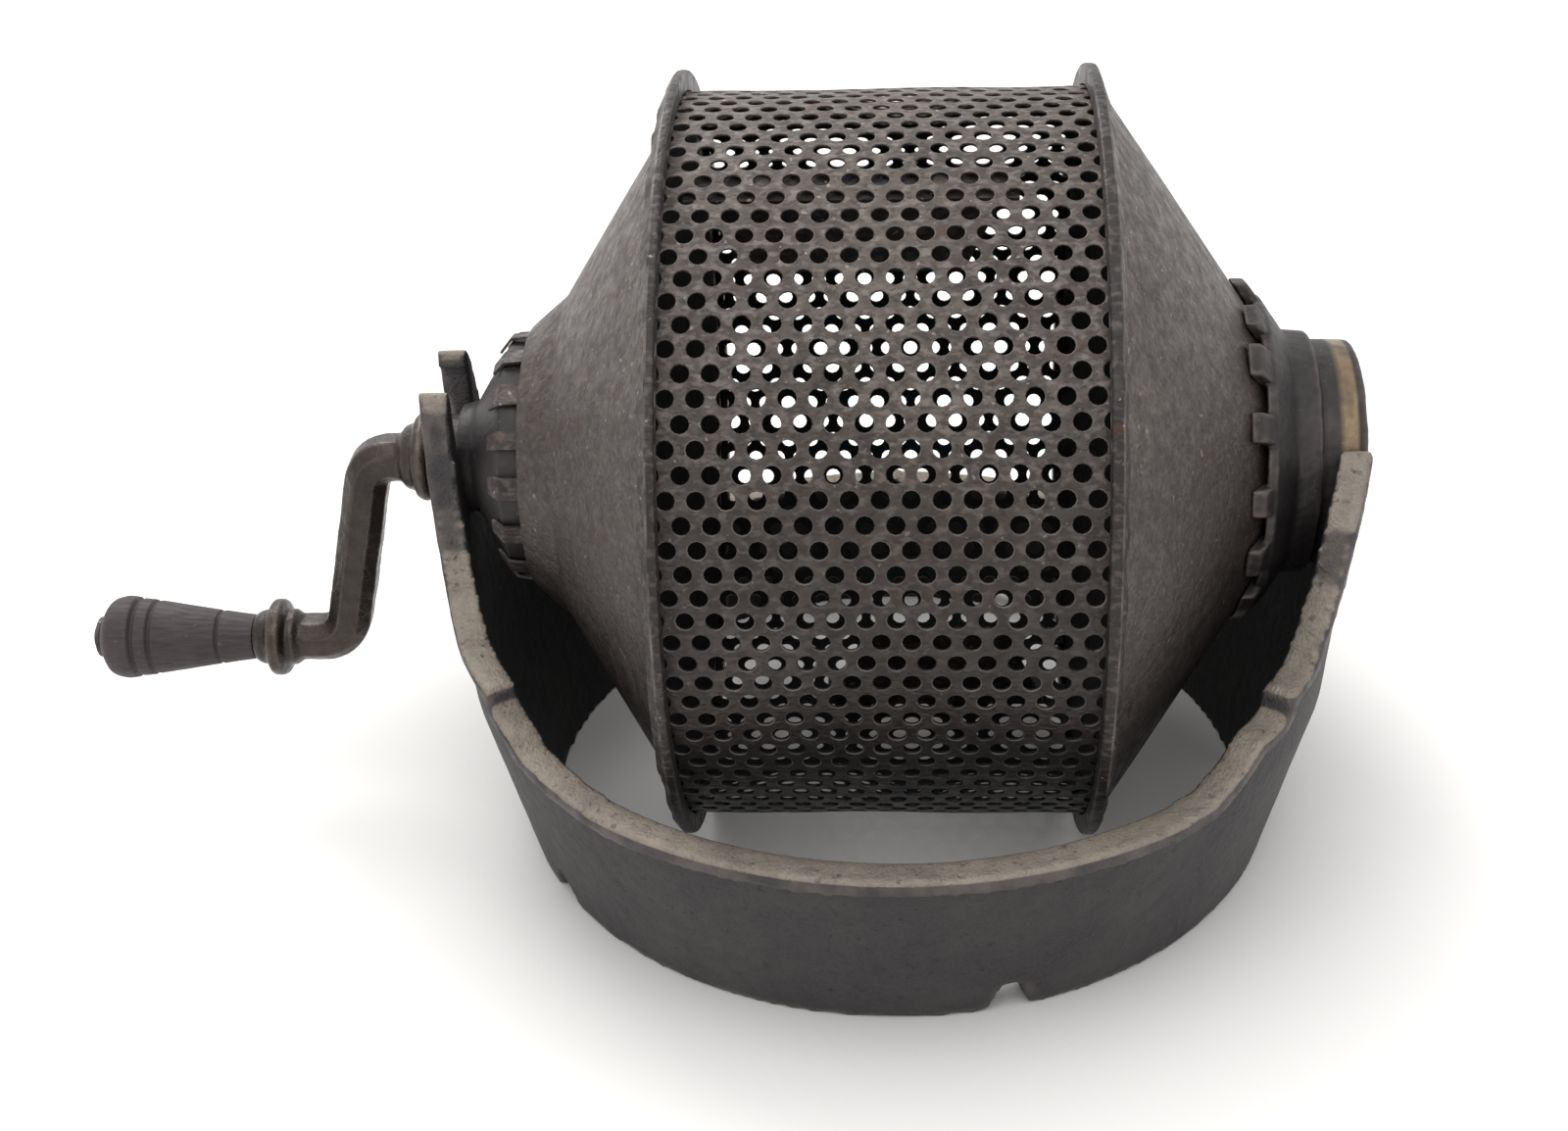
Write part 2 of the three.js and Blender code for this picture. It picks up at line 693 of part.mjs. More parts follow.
function armPath() {
  const bendIn = (from, to, reach) => {
    const [a, b] = [new THREE.Vector3(...from), new THREE.Vector3(...to)];
    return a.clone().add(b.clone().sub(a).setLength(reach)).toArray();
  };
  const start = [crankFace - 4, 0, axisHeight];
  const topBend = [armTopX, 0, axisHeight];
  const footBend = [armFootX, 0, gripHeight];
  const end = [beadX + 3, 0, gripHeight];
  const path = new THREE.CurvePath();
  const line = (a, b) => path.add(new THREE.LineCurve3(new THREE.Vector3(...a), new THREE.Vector3(...b)));
  const bend = (a, b, c) =>
    path.add(new THREE.QuadraticBezierCurve3(new THREE.Vector3(...a), new THREE.Vector3(...b), new THREE.Vector3(...c)));
  const [beforeTop, afterTop] = [bendIn(topBend, start, armBend), bendIn(topBend, footBend, armBend)];
  const [beforeFoot, afterFoot] = [bendIn(footBend, topBend, armBend), bendIn(footBend, end, armBend)];
  line(start, beforeTop);
  bend(beforeTop, topBend, afterTop);
  line(afterTop, beforeFoot);
  bend(beforeFoot, footBend, afterFoot);
  line(afterFoot, end);
  return path;
}

function crank() {
  const [w, d] = [armDepth / 2, armWidth / 2];
  const c = armChamfer;
  const section = new THREE.Shape(
    [[w - c, -d], [w, -d + c], [w, d - c], [w - c, d], [c - w, d], [-w, d - c], [-w, c - d], [c - w, -d]].map(
      ([x, y]) => new THREE.Vector2(x, y),
    ),
  );
  const arm = new THREE.ExtrudeGeometry(section, { steps: 20, extrudePath: armPath(), bevelEnabled: false });
  const collar = turned([
    [shankTip, 0],
    [shankTip, shankRadius],
    [crankFace, shankRadius],
    [crankFace, crankFlareRadius - 1.2],
    [crankFace - 1, crankFlareRadius - 0.2],
    [crankFace - 2.6, crankFlareRadius],
    [crankFace - 4, crankFlareRadius - 1.2],
    [crankFace - 4.8, crankCollarRadius + 0.6],
    [crankFace - 8, crankCollarRadius - 0.6],
    [crankFace - 10, armDepth / 2 + 0.4],
    [crankFace - 10, 0],
  ], roundSides).translate(0, 0, axisHeight);
  const bead = turned([
    [beadX + 7, 0],
    [beadX + 7, 7.4],
    [beadX + 5.6, 9],
    [beadX + 3.4, 9.3],
    [beadX + 2.4, 11.2],
    [beadX + 0.8, beadRadius],
    [beadX - 0.8, beadRadius],
    [beadX - 2.4, 11.2],
    [beadX - 3.2, 9.3],
    [beadX - 6.2, 8.7],
    [gripStart + gripEndPlay, 7.9],
    [gripStart + gripEndPlay, spindleRadius + seatGap],
    [spindleSeat, spindleRadius + seatGap],
    [spindleSeat, 0],
  ], roundSides).translate(0, 0, gripHeight);
  return joined([collar, arm, bead]);
}

// Turned grip, thin at the crank, with a bead between grooves at both ends of its taper
function grip() {
  const neck = (distance, under) => [gripStart - distance, gripNeckRadius + under];
  const bulb = (fromEnd, under) => [gripStart - gripLength + fromEnd, gripRadius - under];
  return turned([
    [gripStart, gripBoreRadius],
    neck(0, -0.4),
    neck(0.6, 0),
    neck(11, 1.1),
    neck(11.6, 0.6),
    neck(12.2, 1.3),
    bulb(18.9, 1.9),
    bulb(17.9, 2.3),
    bulb(16.9, 1.4),
    bulb(13.5, 1.1),
    bulb(12.3, 1.7),
    bulb(11.1, 0.4),
    bulb(8.1, 0),
    bulb(5.3, 0.5),
    bulb(2.5, 2.9),
    bulb(0.7, 5.6),
    [gripStart - gripLength, washerRadius + 0.6],
    [gripStart - gripLength, gripBoreRadius],
  ], roundSides).translate(0, 0, gripHeight);
}

const washerFace = gripStart - gripLength - gripEndPlay;

// Spindle: fixed in the bead, riveted over the washer at the far end
function gripSpindle() {
  const head = washerFace - washerThickness - seatGap;
  return turned([
    [spindleSeat - seatGap, 0],
    [spindleSeat - seatGap, spindleRadius],
    [head, spindleRadius],
    [head, spindleRadius + 1.7],
    [head - 1, spindleRadius + 0.9],
    [head - 1.5, 0],
  ], 16).translate(0, 0, gripHeight);
}

const ringBetween = (low, high, bore, radius, sides) =>
  turned([[low, bore], [low, radius], [high, radius], [high, bore]], sides);

function gripWasher() {
  const washer = ringBetween(washerFace - washerThickness, washerFace, spindleRadius + seatGap, washerRadius, 24);
  return washer.translate(0, 0, gripHeight);
}

function shankWasher() {
  const low = nutFace - seatGap - shankWasherThickness;
  const high = low + shankWasherThickness;
  const washer = ringBetween(low, high, shankRadius + seatGap, shankWasherRadius, 32);
  return washer.translate(0, 0, axisHeight);
}

function shankNut() {
  const side = nutAcrossFlats / 2;
  const square = new THREE.Shape(
    [[-side, -side], [side, -side], [side, side], [-side, side]].map(([x, y]) => new THREE.Vector2(x, y)),
  );
  const thread = new THREE.Path();
  thread.absarc(0, 0, shankRadius + seatGap, 0, 2 * Math.PI, true);
  square.holes.push(thread);
  const nut = new THREE.ExtrudeGeometry(square, { depth: nutThickness, bevelEnabled: false, curveSegments: 8 });
  return nut.rotateX(90 * DEG).rotateZ(90 * DEG).translate(nutFace, 0, axisHeight);
}

// Assembly
const roaster = new THREE.Group();

function add(name, geometry, material) {
  const mesh = new THREE.Mesh(geometry, material);
  mesh.name = name;
  roaster.add(mesh);
}

add("stand", stand(), standIron);
add("drum_shell", drumShell(), drumIron);
add("crank_end_seam_ring", atCrankEnd(seamRing()), drumIron);
add("mouth_end_seam_ring", atMouthEnd(seamRing()), drumIron);
add("crank_end_cone", atCrankEnd(crankEndCone()), drumIron);
add("mouth_end_cone", atMouthEnd(mouthEndCone()), drumIron);
add("crank_end_hub", atCrankEnd(crankEndHub()), castIron);
add("neck_casting", atMouthEnd(neckCasting()), castIron);
vanes.forEach((place, i) => {
  const name = `vane_${i + 1}`;
  add(name, vane(place), drumIron);
  rivetPlaces(place).forEach((at, k) => add(`${name}_rivet_${k + 1}`, rivet(at), darkSteel));
});
add("crank", crank(), crankIron);
add("shank_washer", shankWasher(), darkSteel);
add("shank_nut", shankNut(), darkSteel);
add("grip", grip(), turnedWood);
add("grip_spindle", gripSpindle(), darkSteel);
add("grip_washer", gripWasher(), darkSteel);

// The origin is on the stove, under the middle of the whole length
const box = new THREE.Box3().setFromObject(roaster);
roaster.position.x = -(box.min.x + box.max.x) / 2;

export default roaster;
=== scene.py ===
# Looks of a stove-top coffee roaster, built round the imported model: a perforated sheet-iron drum
# with coned ends, turned by a crank in a cast-iron ring stand.
# Lengths are in millimetres until a mesh is made. X runs along the drum's axis, from the crank to
# the open mouth. Angles round the drum are in degrees up from the front.
import json
import math

import bmesh
import bpy
import numpy as np
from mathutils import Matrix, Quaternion, Vector, noise


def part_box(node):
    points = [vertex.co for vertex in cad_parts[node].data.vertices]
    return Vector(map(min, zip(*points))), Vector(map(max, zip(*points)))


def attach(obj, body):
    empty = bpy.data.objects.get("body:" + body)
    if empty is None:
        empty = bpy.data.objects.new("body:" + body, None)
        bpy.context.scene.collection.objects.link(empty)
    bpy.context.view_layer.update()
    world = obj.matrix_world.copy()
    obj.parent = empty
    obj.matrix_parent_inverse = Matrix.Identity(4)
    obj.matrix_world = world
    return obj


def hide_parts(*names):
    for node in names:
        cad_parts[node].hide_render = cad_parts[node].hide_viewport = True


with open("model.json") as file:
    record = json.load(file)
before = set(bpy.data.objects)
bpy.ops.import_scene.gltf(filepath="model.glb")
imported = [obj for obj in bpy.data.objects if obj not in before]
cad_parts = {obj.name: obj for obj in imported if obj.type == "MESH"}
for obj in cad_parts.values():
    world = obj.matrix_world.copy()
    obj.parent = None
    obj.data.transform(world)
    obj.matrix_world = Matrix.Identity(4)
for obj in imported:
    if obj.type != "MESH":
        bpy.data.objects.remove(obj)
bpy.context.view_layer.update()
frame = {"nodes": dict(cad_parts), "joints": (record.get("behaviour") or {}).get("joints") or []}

MM = 0.001
scene = bpy.context.scene


def span(node):
    """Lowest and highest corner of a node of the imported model, in millimetres."""
    low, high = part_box(node)
    return low / MM, high / MM


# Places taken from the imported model
joint_places = {joint["name"]: Vector(joint["pos_m"]) / MM for joint in frame["joints"]}
STAND_X = joint_places["drum_turn"].x
AXIS = joint_places["drum_turn"].z
GRIP_AXIS = joint_places["grip_spin"].z
CRANK_EDGE = span("crank_end_seam_ring")[1].x
MOUTH_EDGE = span("mouth_end_seam_ring")[0].x
SEAM_RADIUS = span("mouth_end_seam_ring")[1].y
GRIP_END, GRIP_START = (corner.x for corner in span("grip"))
CRANK_TIP = span("crank")[1].x

# Drum
DRUM_MIDDLE = (CRANK_EDGE + MOUTH_EDGE) / 2
DRUM_RADIUS = SEAM_RADIUS - 6.4
SHEET = 0.9
HOLE_RADIUS = 2.5
HOLE_PITCH = 7.94
HOLE_SHIFT = -0.5
HOLE_EASE = 0.22
HOLES_EACH_WAY = 9
PATTERN_ROWS = 104
PATTERN_ANGLE = 41.8
SHEET_PAST_EDGE = 2.1
VANE_ROWS = {"vane_1": 8, "vane_2": 62}

# Coned ends: reach is the distance from the drum's edge to the small end, at this radius
CONE_SMALL_RADIUS = 50
CRANK_CONE = {"reach": 38, "slope": 1.57}
MOUTH_CONE = {"reach": 45.4, "slope": 1.448}
TAB_COUNT = 16
TAB_WIDTH = 6.4
LUG_COUNT = 16
LUG_WIDTH = 9

# Stand
FOOT_RADIUS = 121.2
KNEE_HEIGHT = 56.5
KNEE_RADIUS = 134.5
LIP_HEIGHT = 62
UPRIGHT_RADIUS = 138.8
FOOT_WALL = 10
LIP_WALL = 7.2
UPRIGHT_WALL = 6.4
BEARING_RADIUS = UPRIGHT_RADIUS - UPRIGHT_WALL / 2
BEAD_DEPTH = 5.5
BEAD_PROUD = 3
FORK_SLOT = 13.6
CRADLE_SLOT = 33.8
NOTCH_ANGLES = [15.9 + 72 * k for k in range(5)]
NOTCH_HEIGHT = 10.5
NOTCH_TOP_HALF = 2.75
NOTCH_FOOT_HALF = 6.2
# Height of the edge against the degrees from the middle of an upright
FORK_EDGE = [
    (7, 148), (8.4, 143), (9.4, 126), (9.9, 116), (12.4, 101), (15.5, 90), (21, 81.5),
    (32, 80.5), (32.6, 74), (36, 71), (39, 66.5), (45, 64.4), (52, LIP_HEIGHT),
]
CRADLE_EDGE = [
    (16.6, 137), (18.4, 133), (23.3, 123), (26, 107), (28.4, 97.6), (31.3, 86.5),
    (36.4, 84.5), (37, 77), (42, 75.5), (45, 69), (49, 63.5), (54, LIP_HEIGHT),
]
# Behind the drum the edge comes no higher than this, against the degrees from the back
BACK_EDGE = [(29, 43), (33, 48), (38, 57), (44, 64), (45, 148)]

# Crank
CRANK_FACE = STAND_X - (UPRIGHT_RADIUS + BEAD_PROUD + 0.9)
ARM_TOP = STAND_X - 162.5
ARM_FOOT = STAND_X - 178.4
ARM_DEPTH = 13.6
ARM_WIDTH = 14.6
ARM_CHAMFER = 3.6
ARM_BEND = 14
BEAD_X = STAND_X - 200.8


# Meshes

def around(x, radius, degrees, height=AXIS):
    """A point round an axis along X."""
    angle = math.radians(degrees)
    return Vector((x, -radius * math.cos(angle), height + radius * math.sin(angle)))


def tube(rings, closed=False):
    """A skin over a row of closed rings of points, capped at its ends unless it meets itself."""
    count = len(rings[0])
    points = [point for ring in rings for point in ring]
    faces = []
    for i in range(len(rings) if closed else len(rings) - 1):
        here, after = i * count, (i + 1) % len(rings) * count
        for k in range(count):
            on = (k + 1) % count
            faces.append((here + k, here + on, after + on, after + k))
    if not closed:
        faces.append(tuple(range(count)))
        faces.append(tuple(range(len(points) - count, len(points))))
    return points, faces


def turned(profile, sides, height=AXIS, change=None):
    """A closed profile of (x, radius) points turned round an axis along X.

    change takes a point's place in the profile and its angle, and gives its own x and radius."""
    rings = []
    for i in range(sides):
        degrees = 360 * i / sides
        ring = profile
        if change:
            ring = [change(x, radius, degrees) for x, radius in profile]
        rings.append([around(x, radius, degrees, height) for x, radius in ring])
    return tube(rings, closed=True)


def rounded(corners, closed=True, steps=4):
    """A path through corners (x, y, rounding), each eased by a curve that meets both its sides."""
    path = []
    for i, (x, y, rounding) in enumerate(corners):
        at_end = not closed and i in (0, len(corners) - 1)
        if at_end or not rounding:
            path.append((x, y))
            continue
        here = Vector((x, y))
        back = Vector(corners[i - 1][:2]) - here
        on = Vector(corners[(i + 1) % len(corners)][:2]) - here
        reach = rounding / math.tan(back.angle(on) / 2)
        reach = min(reach, 0.48 * back.length, 0.48 * on.length)
        start = here + back.normalized() * reach
        end = here + on.normalized() * reach
        for step in range(steps + 1):
            share = step / steps
            path.append(tuple(start.lerp(here, share).lerp(here.lerp(end, share), share)))
    return path


def divided(path, step, closed=True):
    """The same path with points added, so that no side is longer than step."""
    dense = []
    for i, here in enumerate(path):
        dense.append(here)
        if not closed and i == len(path) - 1:
            break
        after = path[(i + 1) % len(path)]
        parts = max(1, math.ceil(math.dist(here, after) / step))
        for part in range(1, parts):
            share = part / parts
            dense.append((
                here[0] + (after[0] - here[0]) * share,
                here[1] + (after[1] - here[1]) * share,
            ))
    return dense


def made(name, *shells):
    """One object from one or more closed shells."""
    points, faces = [], []
    for shell_points, shell_faces in shells:
        start = len(points)
        points += [tuple(point * MM) for point in shell_points]
        faces += [tuple(start + index for index in face) for face in shell_faces]
    mesh = bpy.data.meshes.new(name)
    mesh.from_pydata(points, [], faces)
    shape = bmesh.new()
    shape.from_mesh(mesh)
    bmesh.ops.remove_doubles(shape, verts=shape.verts, dist=0.005 * MM)
    bmesh.ops.recalc_face_normals(shape, faces=shape.faces)
    shape.to_mesh(mesh)
    shape.free()
    piece = bpy.data.objects.new(name, mesh)
    scene.collection.objects.link(piece)
    return piece


def settle(piece):
    """Makes what the modifiers give the piece's own mesh."""
    graph = bpy.context.evaluated_depsgraph_get()
    mesh = bpy.data.meshes.new_from_object(piece.evaluated_get(graph))
    piece.modifiers.clear()
    piece.data = mesh


def cast(piece, voxel, easing):
    """Joins a piece's shells into one skin with soft edges, as a sand casting has."""
    remesh = piece.modifiers.new("one skin", "REMESH")
    remesh.mode = "VOXEL"
    remesh.voxel_size = voxel * MM
    ease = piece.modifiers.new("soft edges", "SMOOTH")
    ease.factor = 0.5
    ease.iterations = easing
    settle(piece)


def read_points(mesh, key="co"):
    """The places of a mesh's points, or their normals, one row each."""
    values = np.empty(len(mesh.vertices) * 3, np.float32)
    mesh.vertices.foreach_get(key, values)
    return values.reshape(-1, 3)


def uneven(piece, *layers):
    """Moves the surface in and out: each layer is a (size, depth) of lumps and hollows."""
    mesh = piece.data
    places = read_points(mesh)
    out = read_points(mesh, "normal")
    for size, depth in layers:
        scale = 1 / (size * MM)
        shift = [noise.noise(Vector(place) * scale) * depth * MM for place in places.tolist()]
        places = places + out * np.array(shift)[:, None]
    mesh.vertices.foreach_set("co", places.astype(np.float32).ravel())
    mesh.update()


def mark_edges(piece, passes, depth):
    """Stores how far each point stands out from what is round it, 0 to 1, for the paler edges,
    which are rubbed wear and a painted highlight.
    """
    mesh = piece.data
    places = read_points(mesh).astype(float)
    out = read_points(mesh, "normal")
    ends = np.empty(len(mesh.edges) * 2, np.int32)
    mesh.edges.foreach_get("vertices", ends)
    one, other = ends.reshape(-1, 2).T
    count = len(places)
    neighbours = np.bincount(np.concatenate([one, other]), minlength=count)
    eased = places.copy()
    for _ in range(passes):
        total = np.empty_like(eased)
        for axis in range(3):
            total[:, axis] = np.bincount(one, eased[other, axis], count)
            total[:, axis] += np.bincount(other, eased[one, axis], count)
        eased = total / neighbours[:, None]
    standing = np.einsum("ij,ij->i", places - eased, out) / (depth * MM)
    wear_soot_and_painted_light = mesh.attributes.new("wear_soot_and_painted_light", "FLOAT", "POINT")
    wear_soot_and_painted_light.data.foreach_set("value", np.clip(standing, 0, 1).astype(np.float32))


def mark_inside(piece, centre, axis):
    """Stores -1 as the mark of points that face an axis, which are painted near black for the soot
    and oil that gather there and as painted shade.
    """
    mesh = piece.data
    away = read_points(mesh).astype(float) - np.array(centre) * MM
    out = read_points(mesh, "normal")
    away -= np.outer(away @ np.array(axis), axis)
    away /= np.maximum(np.linalg.norm(away, axis=1), MM)[:, None]
    facing = -np.einsum("ij,ij->i", away, out)
    inside = np.clip((facing - 0.25) / 0.25, 0, 1)
    wear_soot_and_painted_light = mesh.attributes.get("wear_soot_and_painted_light") or mesh.attributes.new("wear_soot_and_painted_light", "FLOAT", "POINT")
    values = np.empty(len(mesh.vertices), np.float32)
    wear_soot_and_painted_light.data.foreach_get("value", values)
    wear_soot_and_painted_light.data.foreach_set("value", (values * (1 - inside) - inside).astype(np.float32))


def finished(piece, body, material, replaced=(), crease=35):
    """Gives a piece its finish and shading, and sets it on its body."""
    piece.data.materials.clear()
    piece.data.materials.append(material)
    piece.data.shade_smooth()
    piece.data.set_sharp_from_angle(angle=math.radians(crease))
    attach(piece, body)
    if replaced:
        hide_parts(*replaced)
    return piece


# Colours and patterns

def colour(code):
    """An sRGB hex value as linear colour."""
    channels = [int(code[i:i + 2], 16) / 255 for i in (1, 3, 5)]
    linear = [c / 12.92 if c <= 0.04045 else ((c + 0.055) / 1.055) ** 2.4 for c in channels]
    return (*linear, 1)


def per(size):
    """Scale of a pattern whose features are this many millimetres across."""
    return 1 / (size * MM)


def put(tree, kind, inputs=None, **settings):
    """Adds a node; an input takes a value or another node's output."""
    added = tree.nodes.new("ShaderNode" + kind)
    for key, value in settings.items():
        setattr(added, key, value)
    for key, value in (inputs or {}).items():
        if isinstance(value, bpy.types.NodeSocket):
            tree.links.new(value, added.inputs[key])
        else:
            added.inputs[key].default_value = value
    return added


def new_material(name):
    """An empty material and its node tree."""
    material = bpy.data.materials.new(name)
    material.use_nodes = True
    material.node_tree.nodes.clear()
    return material, material.node_tree


def surface(tree, inputs):
    """Ends a material with the shader that takes these inputs."""
    shader = put(tree, "BsdfPrincipled", inputs)
    put(tree, "OutputMaterial", {"Surface": shader.outputs[0]})


def blotches(tree, places, size, low, high, detail=3):
    """A pattern of patches this many millimetres across, 0 below low and 1 above high."""
    field = put(tree, "TexNoise", {"Vector": places, "Scale": per(size), "Detail": detail})
    limits = {"Value": field.outputs["Fac"], "From Min": low, "From Max": high}
    return put(tree, "MapRange", limits).outputs[0]


def stored_wear_soot_and_light(tree, low, high):
    """Where the mark stored on a piece lies, 0 at low and 1 at high. Edges store up to 1, for
    rubbed wear and a painted highlight, and surfaces on the inside store -1, for soot and
    painted shade."""
    stored = put(tree, "Attribute", attribute_name="wear_soot_and_painted_light").outputs["Fac"]
    limits = {"Value": stored, "From Min": low, "From Max": high}
    return put(tree, "MapRange", limits).outputs[0]


def height_share(tree, places, low, high):
    """0 below the one height and 1 above the other, in millimetres, with a wavering border."""
    wave = put(tree, "TexNoise", {"Vector": places, "Scale": per(35), "Detail": 4})
    shift = put(tree, "MapRange", {
        "Value": wave.outputs["Fac"], "To Min": -30 * MM, "To Max": 30 * MM,
    })
    height = put(tree, "SeparateXYZ", {0: places}).outputs["Z"]
    level = put(tree, "Math", {0: height, 1: shift.outputs[0]}, operation="ADD")
    limits = {"Value": level.outputs[0], "From Min": low * MM, "From Max": high * MM}
    return put(tree, "MapRange", limits, interpolation_type="SMOOTHSTEP").outputs[0]


def painted(tree, tone, *coats):
    """Lays coats over a tone, each as (where it lies, how strongly, its colour). A colour is a
    hex value, or a tone that was painted before."""
    for pattern, strength, coat in coats:
        share = put(tree, "Math", {0: pattern, 1: strength}, operation="MULTIPLY").outputs[0]
        over = colour(coat) if isinstance(coat, str) else coat
        tone = put(tree, "Mix", {0: share, 6: tone, 7: over}, data_type="RGBA").outputs[2]
    return tone


def relief(tree, *layers):
    """Bump from (height pattern, depth in millimetres) layers."""
    normal = None
    for height, depth in layers:
        inputs = {"Height": height, "Distance": depth * MM, "Strength": 1.0}
        if normal:
            inputs["Normal"] = normal
        normal = put(tree, "Bump", inputs).outputs[0]
    return normal


# Finishes

def browned_sheet(name, tones, soot_and_shade=None, polish=0.44, specks=0.6):
    """Low-carbon sheet iron browned by years of heat: matt oxide with a coarse crumbly grain of
    dark pits and pale specks, and small rust flecks. Its rims and crests are painted pale, for
    rubbed wear and a painted highlight; it is painted darker towards the bottom, for soot where
    the flame reached it and for painted shade; and its insides are painted near black, for soot
    from the roasting beans and for painted shade.

    tones are its base, paler and darker colours, and the heights given after them are where the
    darker bottom fades in."""
    material, tree = new_material(name)
    places = put(tree, "TexCoord").outputs["Object"]
    drawn = put(tree, "VectorMath", {0: places, 1: (0.6, 1, 1)}, operation="MULTIPLY").outputs[0]
    patches = blotches(tree, places, 26, 0.38, 0.66)
    mottling = blotches(tree, places, 4.5, 0.36, 0.66, 6)
    crumbs = blotches(tree, drawn, 1.9, 0.5, 0.64, 5)
    pits = blotches(tree, drawn, 1.3, 0.5, 0.64, 4)
    flecks = blotches(tree, places, 2.2, 0.69, 0.73, 2)
    rust = blotches(tree, places, 9, 0.66, 0.72, 4)
    base, pale, dark = tones
    tone = painted(
        tree, colour(base), (patches, 1, pale), (mottling, 0.5, dark), (pits, 0.6, dark),
        (crumbs, specks, "#8f857f"), (rust, 0.35, "#6b452f"), (flecks, 0.6, "#b9afa8"),
    )
    # Painted darker towards the bottom: soot and painted shade.
    if soot_and_shade:
        above_soot_and_shade = height_share(tree, places, *soot_and_shade)
        tone = painted(tree, colour("#1e1b1a"), (above_soot_and_shade, 1, tone))
    # Pale rims of the holes and the seam's crest: rubbed wear and a painted highlight.
    rim_wear_and_highlight = put(tree, "Math", {
        0: stored_wear_soot_and_light(tree, 0.9, 1), 1: blotches(tree, places, 9, 0.4, 0.62),
    }, operation="MULTIPLY").outputs[0]
    # Insides and the far ends of the holes painted near black: soot and painted shade.
    inside = stored_wear_soot_and_light(tree, -0.1, -0.6)
    tone = painted(tree, tone, (rim_wear_and_highlight, 0.6, "#8f857f"), (inside, 1, "#141110"))
    rough = put(tree, "MapRange", {
        "Value": mottling, "To Min": polish - 0.08, "To Max": polish + 0.12,
    }).outputs[0]
    rough = put(tree, "MapRange", {"Value": inside, "To Min": rough, "To Max": 0.8}).outputs[0]
    surface(tree, {
        "Base Color": tone, "Metallic": 0.3, "Roughness": rough,
        "Normal": relief(tree, (mottling, 0.12), (pits, -0.08), (crumbs, 0.06)),
    })
    return material


def sand_cast_iron(name):
    """Grey iron cast in sand and left black: a fine pebbled skin, grey on the sides, and tan where it
    faces up, for baked-on dust and painted light on its tops. Its edges are painted a little paler,
    for rubbed wear and a painted highlight, and its insides near black, for soot and painted shade."""
    material, tree = new_material(name)
    places = put(tree, "TexCoord").outputs["Object"]
    facing = put(tree, "SeparateXYZ", {0: put(tree, "NewGeometry").outputs["Normal"]})
    upward = put(tree, "MapRange", {
        "Value": facing.outputs["Z"], "From Min": 0.3, "From Max": 0.55,
    }, interpolation_type="SMOOTHSTEP").outputs[0]
    patches = blotches(tree, places, 30, 0.36, 0.66)
    mottling = blotches(tree, places, 6, 0.35, 0.68, 5)
    grain = blotches(tree, places, 0.9, 0.3, 0.72, 2)
    pits = blotches(tree, places, 2.6, 0.62, 0.75, 3)
    # Paler edges: rubbed wear and a painted highlight.
    edge = put(tree, "Math", {
        0: stored_wear_soot_and_light(tree, 0.3, 0.85), 1: blotches(tree, places, 9, 0.35, 0.62),
    }, operation="MULTIPLY").outputs[0]
    # Tan for faces turned up: baked-on dust and painted light on the tops.
    dust_and_top_light = painted(
        tree, colour("#94897b"),
        (patches, 1, "#ada191"), (mottling, 0.5, "#665d57"), (grain, 0.5, "#b3a99f"),
    )
    tone = painted(
        tree, colour("#403d3e"),
        (patches, 1, "#524e4e"), (mottling, 0.4, "#2f2d2f"), (grain, 0.3, "#666364"),
        (upward, 1, dust_and_top_light), (pits, 0.6, "#2c2a2a"), (edge, 0.35, "#8c8078"),
        # Near black insides: soot and painted shade.
        (stored_wear_soot_and_light(tree, -0.1, -0.9), 0.92, "#1f1c1a"),
    )
    rough = put(tree, "MapRange", {"Value": edge, "To Min": 0.66, "To Max": 0.46}).outputs[0]
    surface(tree, {
        "Base Color": tone, "Metallic": 0.25, "Roughness": rough,
        "Normal": relief(tree, (mottling, 0.35), (pits, -0.3), (grain, 0.16)),
    })
    return material


